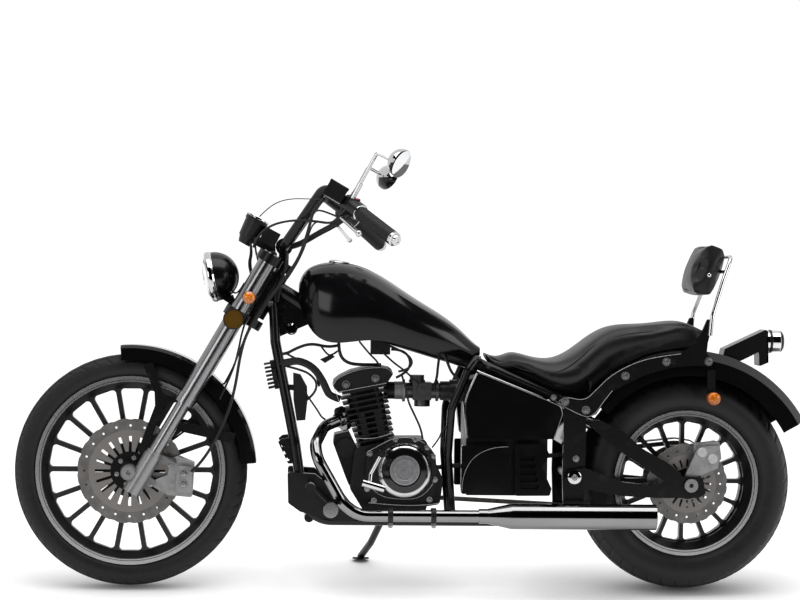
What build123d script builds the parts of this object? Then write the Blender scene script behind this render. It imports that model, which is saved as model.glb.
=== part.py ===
from build123d import *
from math import cos, radians, sin, tan
import os

# Cruiser motorcycle on its side stand, in millimetres.
# Built upright with the front axle above the origin: X runs rearward, -Y is the side with the exhaust,
# Z is up from the ground.  The last step leans it onto the stand.

# --- stance ---
WHEELBASE = 1655.0
LEAN = 7.0                  # degrees, top towards +Y
GAP = 0.3                   # seat clearance between pieces that rest on each other
FIT = 0.05                  # radial running clearance of axles and bearings

# --- wheels ---
FRONT_TYRE_R, FRONT_TYRE_HALF, FRONT_CROWN_R = 345.0, 48.0, 56.0
FRONT_RIM_R, FRONT_RIM_HALF = 280.0, 40.0
FRONT_SPOKES, FRONT_SPOKE_W, FRONT_SPOKE_T = 18, 15.0, 20.0
REAR_TYRE_R, REAR_TYRE_HALF, REAR_CROWN_R = 323.0, 100.0, 150.0
REAR_RIM_R, REAR_RIM_HALF = 217.0, 80.0
REAR_SPOKES, REAR_SPOKE_W, REAR_SPOKE_T = 16, 13.0, 24.0
TYRE_WALL = 9.0
FLANGE_T = 4.0
BED_DROP = 13.0             # rim flange above the bead seat
RIM_WALL = 7.0

# --- axles and hubs ---
FRONT_AXLE_R, REAR_AXLE_R = 12.5, 12.5
FRONT_AXLE_BORE_R, REAR_AXLE_BORE_R = 6.5, 6.5
FRONT_HUB_R, FRONT_HUB_HALF = 44.0, 50.0
REAR_HUB_R, REAR_HUB_HALF = 46.0, 84.0

# --- brake discs ---
FRONT_DISC_R, FRONT_DISC_Y = 155.0, -55.0
REAR_DISC_R, REAR_DISC_Y = 120.0, -94.0
DISC_T = 5.0
DISC_RING = 33.0            # radial width of the braking band
DISC_SLOTS = 20

# --- fork and steering ---
RAKE = 30.0
LEG_Y = 95.0                # fork leg centre, each side
LEG_OFFSET = 45.0           # leg centre ahead of the steering axis
AXLE_LEAD = 17.5            # axle centre ahead of the leg centre
STANCHION_R, UPPER_R, COLLAR_R, CASTING_R = 20.5, 28.0, 30.5, 26.5
CASTING_TOP, COLLAR_FROM, COLLAR_TO, UPPER_TOP = 80.0, 255.0, 285.0, 768.0
LOWER_YOKE_T, UPPER_YOKE_T, YOKE_THICK = 560.0, 750.0, 28.0
HEAD_FROM, HEAD_TO, HEAD_R, STEM_R = 582.0, 725.0, 31.0, 16.0

# --- rear end ---
ARM_Y, ARM_T = 141.0, 18.0  # swingarm side member centre and width
PLATE_IN, PLATE_OUT = 119.0, 129.0
STRUT_T = 9.0
PIVOT = (1308.0, 345.0)
PIVOT_R = 18.0
CHAIN_Y, CHAIN_W, CHAIN_H = 111.0, 12.0, 13.0
CHAIN_CLEAR = 1.0
SPROCKET_R, DRIVE_SPROCKET_R = 98.0, 36.0
DRIVE_AXIS = (890.0, 300.0)
BOX_HALF, BOX_FRONT = 98.0, 992.0   # central housing under the seat
COVER_IN, COVER_OUT = 124.0, 150.0

# --- fenders ---
FRONT_FENDER_R, FRONT_FENDER_HALF, FRONT_SKIRT_R = FRONT_TYRE_R + 28.0, 63.2, FRONT_TYRE_R - 17.0
REAR_FENDER_R, REAR_FENDER_HALF, REAR_SKIRT_R = 398.0, 128.7, 322.0
FENDER_T = 3.0

# --- engine ---
ENGINE_TILT = 12.0          # cylinder leans forward
CYLINDER_FOOT = (724.0, 433.0)
FIN_COUNT, FIN_PITCH, FIN_T = 9, 17.0, 5.0
CASE_HALF = 92.0
CLUTCH, CLUTCH_R = (809.0, 360.0), 80.0

# --- side stand ---
STAND_PIVOT = (760.0, 116.0, 196.0)
STAND_REACH = (-62.0, 196.0)   # foot ahead of and outside the pivot
STAND_R, STAND_HEAD_R, STAND_BOLT_R = 11.0, 17.0, 8.0
STAND_FOLDED = (0.9965, 0.0766, 0.0383)   # the leg's direction when folded back

FRONT_AXLE_Z = FRONT_TYRE_R
REAR_AXLE_Z = REAR_TYRE_R
NEAR, FAR = -1, 1


# ---------------------------------------------------------------- helpers
def rod_y(x, z, radius, y0, y1):
    """Round bar along Y."""
    return Pos(x, (y0 + y1) / 2, z) * Rot(90, 0, 0) * Cylinder(radius, abs(y1 - y0))


def rod_x(x0, x1, y, z, radius):
    """Round bar along X."""
    return Pos((x0 + x1) / 2, y, z) * Rot(0, 90, 0) * Cylinder(radius, abs(x1 - x0))


def bar(p, q, radius):
    """Round bar from p to q."""
    a, b = Vector(*p), Vector(*q)
    low = (Align.CENTER, Align.CENTER, Align.MIN)
    return Plane(origin=a, z_dir=b - a) * Cylinder(radius, (b - a).length, align=low)


def cone(p, q, r0, r1):
    """Tapered bar from p (radius r0) to q (radius r1)."""
    a, b = Vector(*p), Vector(*q)
    low = (Align.CENTER, Align.CENTER, Align.MIN)
    return Plane(origin=a, z_dir=b - a) * Cone(r0, r1, (b - a).length, align=low)


def tube(points, radius, bend):
    """Bent round tube: straight runs joined by tangent arcs."""
    path = FilletPolyline(*points, radius=bend)
    return sweep(Plane(origin=path @ 0, z_dir=path % 0) * Circle(radius), path=path)


def plate(points, y0, y1, corner=0.0):
    """Flat piece cut to an XZ outline, from y0 to y1."""
    outline = Polygon(*points, align=None)
    if corner:
        outline = fillet(outline.vertices(), corner)
    side = Plane(origin=(0, max(y0, y1), 0), x_dir=(1, 0, 0), z_dir=(0, -1, 0))
    return extrude(side * outline, amount=abs(y1 - y0), dir=(0, -1, 0))


def both(shape):
    """The piece and its twin on the other side of the bike."""
    return Part() + [shape, mirror(shape, about=Plane.XZ)]


def on_axle(x, z, shape):
    """Carries a piece drawn round the Z axis to an axle along Y; its +Z faces -Y."""
    return Pos(x, 0, z) * Rot(90, 0, 0) * shape


def leg_point(t, side):
    """Point at t along the fork leg."""
    x = AXLE_LEAD * 2 * cos(radians(RAKE)) + t * sin(radians(RAKE))
    z = FRONT_AXLE_Z - AXLE_LEAD * 2 * sin(radians(RAKE)) + t * cos(radians(RAKE))
    return (x, side * LEG_Y, z)


def steer_plane(t):
    """Plane square to the steering axis at t; local x points rearward, y to +Y."""
    x, _, z = leg_point(t, 0)
    origin = (x + LEG_OFFSET * cos(radians(RAKE)), 0, z - LEG_OFFSET * sin(radians(RAKE)))
    axis = (sin(radians(RAKE)), 0, cos(radians(RAKE)))
    return Plane(origin=origin, x_dir=(cos(radians(RAKE)), 0, -sin(radians(RAKE))), z_dir=axis)


# ---------------------------------------------------------------- wheels
def tyre(radius, half, crown, rim_r, rim_half):
    """Hollow tyre section turned round the axle."""
    bead, inner = rim_half - FLANGE_T, rim_r - BED_DROP + GAP
    shoulder = (radius - crown + (crown ** 2 - (half * 0.86) ** 2) ** 0.5, half * 0.86)
    belly = (rim_r + (radius - rim_r) * 0.42, half)
    w = TYRE_WALL
    outer = Polyline((inner, -bead + GAP), (rim_r, -bead + GAP))
    wall = ThreePointArc((rim_r, -bead + GAP), (belly[0], -belly[1]), (shoulder[0], -shoulder[1]))
    tread = ThreePointArc((shoulder[0], -shoulder[1]), (radius, 0), (shoulder[0], shoulder[1]))
    wall_b = ThreePointArc((shoulder[0], shoulder[1]), (belly[0], belly[1]), (rim_r, bead - GAP))
    close = Polyline((rim_r, bead - GAP), (inner, bead - GAP), (inner, bead - w), (rim_r, bead - w))
    in_b = ThreePointArc((rim_r, bead - w), (belly[0], belly[1] - w), (shoulder[0] - w, shoulder[1] - w))
    crown_in = ThreePointArc((shoulder[0] - w, shoulder[1] - w), (radius - w, 0),
                             (shoulder[0] - w, -shoulder[1] + w))
    in_a = ThreePointArc((shoulder[0] - w, -shoulder[1] + w), (belly[0], -belly[1] + w), (rim_r, -bead + w))
    end = Polyline((rim_r, -bead + w), (inner, -bead + w), (inner, -bead + GAP))
    edges = [outer, wall, tread, wall_b, close, in_b, crown_in, in_a, end]
    return revolve(Plane.XZ * make_face(Curve() + edges), Axis.Z)


def spoked_rim(rim_r, rim_half, spokes, spoke_w, spoke_t, hub_r, hub_a, hub_b, bore):
    """Cast wheel: barrel, hub and straight spokes between round-cornered gaps."""
    bed, well = rim_r - BED_DROP, rim_r - BED_DROP - 14.0
    barrel = Polygon(
        (rim_r, rim_half), (rim_r, rim_half - FLANGE_T), (bed, rim_half - FLANGE_T), (well, rim_half * 0.4),
        (well, -rim_half * 0.4), (bed, FLANGE_T - rim_half), (rim_r, FLANGE_T - rim_half), (rim_r, -rim_half),
        (bed - 3.0, -rim_half), (well - RIM_WALL, -rim_half * 0.42), (well - RIM_WALL, rim_half * 0.42),
        (bed - 3.0, rim_half), align=None)
    ring = revolve(Plane.XZ * barrel, Axis.Z)
    hub = Pos(0, 0, (hub_a + hub_b) / 2) * Cylinder(hub_r, hub_b - hub_a)
    web = extrude(Circle(well) - Circle(hub_r - 5.0), amount=spoke_t / 2, both=True)
    half = 180.0 / spokes
    r_out = well - RIM_WALL - 1.0
    r_in = (spoke_w / 2 + 7.0) / sin(radians(half))
    far = ((r_out * sin(radians(half)) - spoke_w / 2) / cos(radians(half)))
    y_out = r_out * sin(radians(half)) - spoke_w / 2
    y_in = r_in * sin(radians(half)) - spoke_w / 2
    gap = Polygon((r_in * cos(radians(half)), -y_in), (r_out * cos(radians(half)), -y_out),
                  (r_out * cos(radians(half)), y_out), (r_in * cos(radians(half)), y_in), align=None)
    outer_corners = gap.vertices().sort_by(Axis.X)[2:]
    inner_corners = gap.vertices().sort_by(Axis.X)[:2]
    gap = fillet(outer_corners, min(11.0, far / 3))
    gap = fillet(gap.vertices().sort_by(Axis.X)[:2], 5.0) if inner_corners else gap
    gaps = Sketch() + [loc * gap for loc in PolarLocations(0, spokes, start_angle=half)]
    web -= extrude(gaps, amount=spoke_t, both=True)
    return ring + web + hub - Cylinder(bore, 4 * rim_half + 200)


def brake_disc(radius, hub_r, bolt_face):
    """Wave-edged disc: drilled band, slotted carrier and hub seat."""
    band = radius - DISC_RING
    notch = [loc * Circle(30.0) for loc in PolarLocations(radius + 27.5, DISC_SLOTS)]
    outline = Circle(radius) - notch - Circle(hub_r)
    slot_r0, slot_r1 = hub_r + 0.16 * radius, band - 0.12 * radius
    slots = [loc * Pos((slot_r0 + slot_r1) / 2, 0) * Rectangle(slot_r1 - slot_r0, 0.055 * radius)
             for loc in PolarLocations(0, DISC_SLOTS)]
    outline -= slots
    outline -= [loc * Circle(3.4) for loc in PolarLocations(radius - DISC_RING * 0.62, DISC_SLOTS)]
    return Pos(0, 0, bolt_face) * extrude(outline, amount=DISC_T)


# ---------------------------------------------------------------- fork and steering
LUG_Y = -76.0               # inner face of the caliper lugs
CALIPER_LUGS = [
    [(40.0, 380.0), (128.0, 362.0), (138.0, 370.0), (134.0, 384.0), (84.0, 400.0)],
    [(10.0, 330.0), (60.0, 302.0), (74.0, 306.0), (76.0, 320.0), (40.0, 350.0)]]


def steer_xz(u, t):
    """(x, z) of the point u behind the steering axis and t along it."""
    point = steer_plane(t).from_local_coords(Vector(u, 0, 0))
    return (point.X, point.Z)


def fork_lowers():
    """Axle casting and chrome stanchion of both legs."""
    def leg(side):
        lug = rod_y(0, FRONT_AXLE_Z, 23.0, side * 68.0, side * 117.0)
        foot = bar(leg_point(-48.0, side), leg_point(CASTING_TOP, side), CASTING_R)
        boss = bar(leg_point(40.0, side), leg_point(CASTING_TOP + 12.0, side), 24.0)
        tube_ = bar(leg_point(CASTING_TOP, side), leg_point(COLLAR_TO, side), STANCHION_R)
        body = lug + foot + boss + tube_
        if side == NEAR:
            for outline in CALIPER_LUGS:
                body += plate(outline, LUG_Y, LUG_Y - 12.0, 3.0)
        return body - rod_y(0, FRONT_AXLE_Z, FRONT_AXLE_R + FIT, -130, 130)
    return Part() + [leg(NEAR), leg(FAR)]


def fork_uppers():
    """Silver outer tubes with their collars, bored for the stanchions."""
    def leg(side):
        body = bar(leg_point(COLLAR_FROM, side), leg_point(UPPER_TOP, side), UPPER_R)
        body += bar(leg_point(COLLAR_FROM, side), leg_point(COLLAR_TO, side), COLLAR_R)
        return body - bar(leg_point(COLLAR_FROM - 1, side), leg_point(COLLAR_TO + GAP, side), STANCHION_R + GAP)
    return Part() + [leg(NEAR), leg(FAR)]


def fork_yokes():
    """Upper and lower yokes on the steering stem, with the bar risers."""
    body = Part()
    for t, boss in ((LOWER_YOKE_T, 36.0), (UPPER_YOKE_T, 30.0)):
        outline = make_hull((Sketch() + [Pos(-LEG_OFFSET, s * LEG_Y) * Circle(UPPER_R + 11.0) for s in (-1, 1)]
                             ).edges())
        outline += Circle(boss) + Pos(-LEG_OFFSET / 2, 0) * Rectangle(LEG_OFFSET, 90.0)
        outline -= [Pos(-LEG_OFFSET, s * LEG_Y) * Circle(UPPER_R + GAP) for s in (-1, 1)]
        body += extrude(steer_plane(t - YOKE_THICK / 2) * outline, amount=YOKE_THICK)
    stem = steer_plane(LOWER_YOKE_T) * Cylinder(STEM_R, UPPER_YOKE_T - LOWER_YOKE_T,
                                                align=(Align.CENTER, Align.CENTER, Align.MIN))
    body += stem
    for s in (-1, 1):
        body += bar((446.0, s * 45.0, 962.0), (447.0, s * 45.0, 1010.0), 15.0)
        body += rod_y(BAR_CENTRE[0], BAR_CENTRE[1], 25.0, s * 45.0 - 16.0, s * 45.0 + 16.0)
    return body - rod_y(BAR_CENTRE[0], BAR_CENTRE[1], BAR_R + GAP, -80.0, 80.0)


BAR_R = 15.5
BAR_CENTRE = (447.0, 1014.0)
BAR_BEND, GRIP_TO = (622.0, 290.0, 1140.0), (752.0, 442.0, 1034.0)
BAR_PEAK = (562.0, 235.0, 1182.0)
GRIP_R = 20.0


def bent_bar(radius):
    """The handlebar's sweep at any radius."""
    half = [(BAR_CENTRE[0], 110.0, BAR_CENTRE[1]), BAR_PEAK, BAR_BEND, GRIP_TO]
    points = [(x, -y, z) for x, y, z in reversed(half)] + half
    return tube(points, radius, [22.0, 36.0, 60.0, 60.0, 36.0, 22.0])


def handlebar():
    """Swept bar from grip end to grip end."""
    return bent_bar(BAR_R)


def along(p, q, t):
    """Point at fraction t from p to q."""
    return tuple(a + (b - a) * t for a, b in zip(p, q))


def grip_line(t):
    """Point at t along the bar's end run: 0 at the grip's inner end, 1 at the bar's tip."""
    inner = along(BAR_BEND, GRIP_TO, 0.25)
    return along(inner, GRIP_TO, t)


def grips():
    """Rubber grips with end caps."""
    body = bar(grip_line(0.08), grip_line(1.04), GRIP_R) + bar(grip_line(1.0), grip_line(1.1), GRIP_R * 0.7)
    body -= bar(grip_line(0.0), grip_line(1.002), BAR_R + GAP)
    return both(body)


def hand_controls():
    """Switch housings, lever perches, levers and the near side's fluid reservoir."""
    perch = bar(grip_line(-0.3), grip_line(0.07), 26.0)
    perch += bar(grip_line(-0.16), (604.0, 318.0, 1094.0), 13.0)
    base = Vector(*MIRROR_BASE)
    rise = (Vector(*MIRROR_TOP) - base).normalized()
    perch += bar(tuple(base - rise * 44.0), tuple(base - rise * GAP), 9.5)
    lever = tube([(606.0, 318.0, 1096.0), (622.0, 360.0, 1080.0), (655.0, 452.0, 1046.0)], 6.0, 25.0)
    side = perch + lever + Pos(655.0, 452.0, 1046.0) * Sphere(9.0)
    reservoir = Pos(592.0, 302.0, 1166.0) * Rot(0, 30, 0) * Box(58.0, 60.0, 44.0)
    hole = bent_bar(BAR_R + GAP)
    side -= bar(tuple(base - rise * GAP), tuple(base + rise * 60.0), 8.5 + GAP)
    near = mirror(side + reservoir, about=Plane.XZ)
    return Part() + [side - hole, near - hole]


MIRROR_BASE, MIRROR_TOP = (641.0, 322.0, 1150.0), (708.0, 352.0, 1277.0)


def mirrors():
    """Stalk and domed head on both sides."""
    stalk = tube([MIRROR_BASE, MIRROR_TOP, (750.0, 368.0, 1256.0)], 5.5, 8.0)
    stalk += bar(MIRROR_BASE, along(MIRROR_BASE, MIRROR_TOP, 0.33), 8.5)
    shell = scale(Sphere(50.0), by=(0.72, 1.25, 0.84))
    shell = split(shell, bisect_by=Plane.YZ, keep=Keep.BOTTOM)
    head = Pos(776.0, 376.0, 1246.0) * Rot(0, 28, 22) * shell
    return both(stalk + head)


LAMP_C, LAMP_R, LAMP_TILT = (225.0, 920.0), 75.0, 10.8


def lamp_plane():
    """Front face of the headlamp; local z points out of the lamp."""
    a = radians(LAMP_TILT)
    return Plane(origin=(LAMP_C[0], 0, LAMP_C[1]), x_dir=(0, 1, 0), z_dir=(-cos(a), 0, -sin(a)))


def headlamp_shell():
    """Bowl with its bezel, on an arm to the lower yoke."""
    ring = Polygon((LAMP_R - 8, -16.0), (LAMP_R - 8, 4.0), (LAMP_R - 1, 4.0), (LAMP_R + 1.5, -2.0),
                   (LAMP_R + 1.5, -12.0), (LAMP_R - 1, -16.0), align=None)
    bezel = lamp_plane() * revolve(Plane.XZ * ring, Axis.Z)
    bowl = Sphere(LAMP_R - 1) - Sphere(LAMP_R - 5)
    bowl = split(bowl, bisect_by=Plane.XY, keep=Keep.BOTTOM)
    shell = lamp_plane() * (Pos(0, 0, -15.0) * bowl)
    top = LOWER_YOKE_T + YOKE_THICK / 2 + GAP
    arm = plate([steer_xz(-82.0, top), steer_xz(-52.0, top), (296.0, 870.0), (262.0, 858.0)], -22.0, 22.0)
    return shell + bezel + arm


def headlamp_lens():
    """Domed glass in the bezel."""
    r, dome = LAMP_R - 8 - GAP, 18.0
    ball = (r * r + dome * dome) / (2 * dome)
    puck = Pos(0, 0, 10.0) * Cylinder(r, 24.0)
    return lamp_plane() * (puck & (Pos(0, 0, 3.0 + dome - ball) * Sphere(ball)))


def gauges():
    """Speedometer pod above the headlamp, with the warning-lamp box behind it."""
    pod = cone((336.0, 0, 1040.0), (365.0, 0, 1094.0), 28.0, 34.0) + cone((326.0, 0, 1022.0), (337.0, 0, 1042.0), 18.0, 26.0)
    pod += bar((361.0, 0, 1087.0), (366.5, 0, 1097.0), 35.5)
    box = Pos(404.0, 0, 1042.0) * Rot(0, 28, 0) * Box(48.0, 84.0, 46.0)
    top = UPPER_YOKE_T + YOKE_THICK / 2 + GAP
    arm = plate([steer_xz(-62.0, top), steer_xz(-34.0, top), (420.0, 1034.0), (350.0, 1046.0), (344.0, 1028.0)],
                -20.0, 20.0)
    return pod + box + arm


def front_indicators():
    """Amber indicators and round reflectors on stalks from the fork legs."""
    skin = LEG_Y + UPPER_R + GAP
    stalk = bar((344.0, skin, 862.0), (347.0, 146.0, 862.0), 7.0)
    lamp = rod_y(347.0, 862.0, 18.0, 134.0, 158.0)
    clamp = LEG_Y + UPPER_R + 11.0 + GAP
    reflector = rod_y(302.5, 799.0, 30.0, clamp, clamp + 8.0)
    return both(stalk + lamp + reflector)


def front_fender():
    """Short deep fender round the front tyre."""
    half, r, s, t = FRONT_FENDER_HALF, FRONT_FENDER_R, FRONT_SKIRT_R, FENDER_T
    outer = Polygon((-half, s), (-half, r - 9), (-half + 14, r), (half - 14, r), (half, r - 9), (half, s),
                    (half - t, s), (half - t, r - 9 - t), (half - 14 - t, r - t), (-half + 14 + t, r - t),
                    (-half + t, r - 9 - t), (-half + t, s), align=None)
    start, stop = 95.0, 4.0
    shell = revolve(Plane.YZ * outer, Axis.Y, start - stop)
    return Pos(0, 0, FRONT_AXLE_Z) * Rot(0, 90.0 - start, 0) * shell


def fender_stays():
    """Black Y-shaped stays from the fork castings to the fender."""
    y0, y1 = FRONT_FENDER_HALF + GAP, LEG_Y - CASTING_R - GAP
    front = plate([(40.0, 376.0), (24.0, 408.0), (72.0, 540.0), (70.0, 580.0), (36.0, 660.0), (64.0, 668.0),
                   (90.0, 585.0), (118.0, 557.0), (96.0, 530.0), (60.0, 440.0), (76.0, 390.0)], y0, y1, 2.0)
    rear = plate([(62.0, 376.0), (52.0, 430.0), (62.0, 448.0), (146.0, 492.0), (312.0, 460.0), (302.0, 430.0),
                  (146.0, 464.0), (84.0, 428.0), (80.0, 380.0)], y0, y1, 2.0)
    return both(front + rear)


def front_caliper():
    """Caliper over the near-side disc, bolted to the casting lugs."""
    body = plate([(70.0, 300.0), (114.0, 276.0), (184.0, 270.0), (190.0, 372.0), (140.0, 392.0), (120.0, 384.0),
                  (112.0, 336.0), (76.0, 322.0)], LUG_Y + GAP, -30.0, 5.0)
    body += plate([(136.0, 290.0), (184.0, 284.0), (184.0, 362.0), (142.0, 366.0)], -98.0, LUG_Y + GAP, 8.0)
    slot = rod_y(0, FRONT_AXLE_Z, FRONT_DISC_R + 5.0, FRONT_DISC_Y - DISC_T, FRONT_DISC_Y + DISC_T)
    return body - slot


# ---------------------------------------------------------------- engine
def tilt_plane(h):
    """Plane square to the cylinder axis at height h above its foot."""
    a = radians(ENGINE_TILT)
    origin = (CYLINDER_FOOT[0] - h * sin(a), 0, CYLINDER_FOOT[1] + h * cos(a))
    return Plane(origin=origin, x_dir=(cos(a), 0, sin(a)), z_dir=(-sin(a), 0, cos(a)))


CASE_COVER = 26.0           # depth of the side covers
CASE_EDGE = [(693.0, 300.0), (716.0, 262.0), (892.0, 266.0), (908.0, 330.0), (901.0, 404.0), (880.0, 432.0),
             (842.0, 455.0), (780.0, 455.0), (700.0, 412.0)]


def engine_case():
    """Crankcase with its side covers, front housing and output shaft."""
    deck = [tilt_plane(0).from_local_coords(Vector(u, 0, 0)) for u in (-62.0, 62.0)]
    outline = [(650.0, 300.0)] + [(v.X, v.Z) for v in deck] + [(872.0, 447.0), (926.0, 330.0), (917.0, 256.0),
                                                               (700.0, LOWER_RAIL_Z + RAIL_R + GAP)]
    body = plate(outline, -CASE_HALF, CASE_HALF, 14.0)
    face = -CASE_HALF - CASE_COVER
    near = plate(CASE_EDGE, face + 6.0, -CASE_HALF, 18.0)
    near += rod_y(*CLUTCH, CLUTCH_R + 10.0, face, -CASE_HALF)
    near += plate([(712.0, 300.0), (728.0, 284.0), (800.0, 284.0), (800.0, 400.0), (760.0, 430.0), (716.0, 404.0)],
                  face, -CASE_HALF, 12.0)
    for x, z in CASE_EDGE:
        toward = Vector(800.0 - x, 0, 360.0 - z).normalized() * 9.0
        near += rod_y(x + toward.X, z + toward.Z, 8.0, face + 2.0, -CASE_HALF)
    far = rod_y(742.0, 352.0, 82.0, CASE_HALF, CASE_HALF + 22.0) + rod_y(742.0, 352.0, 70.0, CASE_HALF, CASE_HALF + 30.0)
    front = plate([(603.0, 458.0), (646.0, 468.0), (670.0, 420.0), (666.0, 316.0), (648.0, 306.0), (634.0, 340.0),
                   (600.0, 430.0)], -62.0, 40.0, 6.0)
    front += rod_y(636.0, 420.0, 28.0, -72.0, 52.0)
    sump = plate([(700.0, 262.0), (880.0, 262.0), (872.0, LOWER_RAIL_Z + RAIL_R + GAP), (716.0, LOWER_RAIL_Z + RAIL_R + GAP)],
                 -CASE_HALF - 6.0, CASE_HALF + 6.0, 6.0)
    output = rod_y(*DRIVE_AXIS, 14.0, CASE_HALF - 2, CHAIN_Y + CHAIN_W / 2)
    output += rod_y(*DRIVE_AXIS, DRIVE_SPROCKET_R, CHAIN_Y - 4.0, CHAIN_Y + 4.0)
    return body + near + far + front + sump + output


PORT = (626.0, -42.0, 504.0)          # centre of the exhaust port's face
PORT_TO = (572.0, -84.0, 484.0)       # the header's first bend
HEAD_HALF = 74.0
INLET_END, INLET_Z = 782.0, 588.0     # rear face and height of the inlet stub
ROCKER_BOX = [(597.0, 600.0), (600.0, 618.0), (618.0, 632.0), (650.0, 648.0), (690.0, 658.0), (740.0, 662.0),
              (768.0, 657.0), (775.0, 640.0), (757.0, 612.0), (614.0, 582.0)]


def port_plane(back=0.0):
    """Face of the exhaust port, or a plane that far behind it; local z runs down the header."""
    a, b = Vector(*PORT), Vector(*PORT_TO)
    way = (b - a).normalized()
    return Plane(origin=a - way * back, x_dir=Vector(-way.Z, 0, way.X).normalized(), z_dir=way)


def engine_cylinder():
    """Finned cylinder and head under a rocker box, with the exhaust port at the front."""
    body = extrude(tilt_plane(GAP) * RectangleRounded(88.0, 96.0, 20.0), amount=172.0)
    for i in range(FIN_COUNT):
        h = 10.0 + i * FIN_PITCH
        front, rear = -51.0 - 25.0 * h / 165.0, 61.0 + 5.0 * h / 165.0
        fin = Pos((front + rear) / 2, 0) * RectangleRounded(rear - front, 150.0, 12.0)
        body += extrude(tilt_plane(h) * fin, amount=FIN_T)
        if i < 5:
            for u in (-22.0, 24.0):
                block = tilt_plane(h + FIN_T) * Pos(u, 0, (FIN_PITCH - FIN_T) / 2)
                body += block * Box(18.0, 142.0, FIN_PITCH - FIN_T + 2.0)
    box = plate(ROCKER_BOX, -HEAD_HALF, HEAD_HALF, 6.0)
    rim = offset(make_face(Polyline(*ROCKER_BOX, close=True)), amount=-6.0)
    for side in (NEAR, FAR):
        start = side * (HEAD_HALF - 3.0)
        plane = Plane(origin=(0, start, 0), x_dir=(1, 0, 0), z_dir=(0, -1, 0))
        box -= extrude(plane * rim, amount=4.0, dir=(0, side, 0))
        for x, z in ((635.0, 608.0), (722.0, 627.0)):
            box += rod_y(x, z, 9.0, side * (HEAD_HALF - 6.0), side * (HEAD_HALF + 1.0))
    neck = extrude(tilt_plane(160.0) * RectangleRounded(134.0, 132.0, 16.0), amount=30.0)
    stub = port_plane(58.0) * Cylinder(23.0, 58.0 - GAP, align=(Align.CENTER, Align.CENTER, Align.MIN))
    flange = port_plane(10.0) * extrude(SlotOverall(74.0, 42.0), amount=10.0 - GAP)
    inlet = rod_x(750.0, INLET_END, 0, INLET_Z, 26.0)
    return body + neck + box + stub + flange + inlet


def clutch_cover():
    """Round cover on the near side of the crankcase."""
    x, z = CLUTCH
    y = -CASE_HALF - CASE_COVER
    dish = Polygon((0, 0), (CLUTCH_R, 0), (CLUTCH_R, 8.0), (CLUTCH_R - 4.0, 13.0), (CLUTCH_R - 9.0, 14.0),
                   (CLUTCH_R - 15.0, 19.0), (48.0, 24.0), (46.0, 20.0), (43.0, 20.0), (43.0, 23.0), (31.0, 24.0),
                   (30.0, 22.5), (0, 22.5), align=None)
    return Pos(x, y - GAP, z) * Rot(90, 0, 0) * revolve(Plane.XZ * dish, Axis.Z)


def carburettor():
    """Inlet stub, carburettor with float bowl and caps, and the hose to the air box."""
    z = INLET_Z
    body = rod_x(INLET_END + GAP, 812.0, 0, z, 27.0) + rod_x(806.0, 814.0, 0, z, 34.0)
    body += rod_x(812.0, 924.0, 0, z, 24.0) + Pos(864.0, 0, z) * Box(56.0, 66.0, 52.0)
    body += Pos(866.0, 0, z - 34.0) * Cylinder(24.0, 26.0) + Pos(866.0, 0, z - 26.0) * Cylinder(27.0, 6.0)
    body += Pos(850.0, 0, z + 34.0) * Cylinder(22.0, 26.0) + Pos(850.0, 0, z + 29.0) * Cylinder(25.0, 6.0)
    body += rod_y(866.0, z + 8.0, 16.0, -46.0, 40.0) + rod_y(866.0, z + 8.0, 6.0, -54.0, -40.0)
    body += rod_x(906.0, 914.0, 0, z, 32.0) + rod_x(920.0, 952.0, 0, z, 29.0)
    return body + rod_x(948.0, BOX_FRONT - GAP, 0, z, 34.0)


EXHAUST_Y, PIPE_R = -185.0, 17.5
MUFFLER = (1024.0, 1545.0, 232.0, 37.5)   # front, rear, centre height, radius


def exhaust_pipe():
    """Header from the front port, down ahead of the crankcase and back to the silencer."""
    z = MUFFLER[2]
    path = [PORT, PORT_TO, (545.0, -150.0, 436.0), (552.0, -180.0, 396.0), (626.0, EXHAUST_Y, 268.0),
            (672.0, EXHAUST_Y, z), (MUFFLER[0] + 50.0, EXHAUST_Y, z)]
    body = tube(path, PIPE_R, [60.0, 60.0, 60.0, 70.0, 90.0])
    body += port_plane() * extrude(SlotOverall(74.0, 42.0), amount=7.0)
    body += port_plane() * Cylinder(PIPE_R + 4.0, 20.0, align=(Align.CENTER, Align.CENTER, Align.MIN))
    for x in (766.0, 892.0):
        body += rod_x(x - 7.0, x + 7.0, EXHAUST_Y, z, PIPE_R + 4.0)
        body += Pos(x, EXHAUST_Y, z - PIPE_R - 6.0) * Box(12.0, 14.0, 12.0)
    return body


def muffler():
    """Long straight silencer with a slash-cut end."""
    x0, x1, z, r = MUFFLER
    profile = Polygon((x0, PIPE_R + GAP), (x0, PIPE_R + 4), (x0 + 25.0, PIPE_R + 4), (x0 + 95.0, r), (x1, r), (x1, r - 4), (x1 - 70, r - 4),
                      (x1 - 70, 0), (x0 + 60.0, 0), (x0 + 60.0, PIPE_R + GAP), align=None)
    body = revolve(Plane.XZ * profile, Axis.X)
    cut = plate([(x1 - 4, -60.0), (x1 + 40, -60.0), (x1 + 40, 60.0), (x1 + 16, 60.0)], -60.0, 60.0)
    return Pos(0, EXHAUST_Y, z) * (body - cut)


# ---------------------------------------------------------------- frame and rear end
LOWER_RAIL_Z, LOWER_RAIL_Y, RAIL_R = 205.0, 74.0, 15.0
SEAT_TUBE_R = 12.0
DOWNTUBE = [(418.0, 26.0, 838.0), (424.0, 34.0, 730.0), (486.0, LOWER_RAIL_Y, 430.0),
            (520.0, LOWER_RAIL_Y, LOWER_RAIL_Z), (1320.0, LOWER_RAIL_Y, LOWER_RAIL_Z)]


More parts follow.
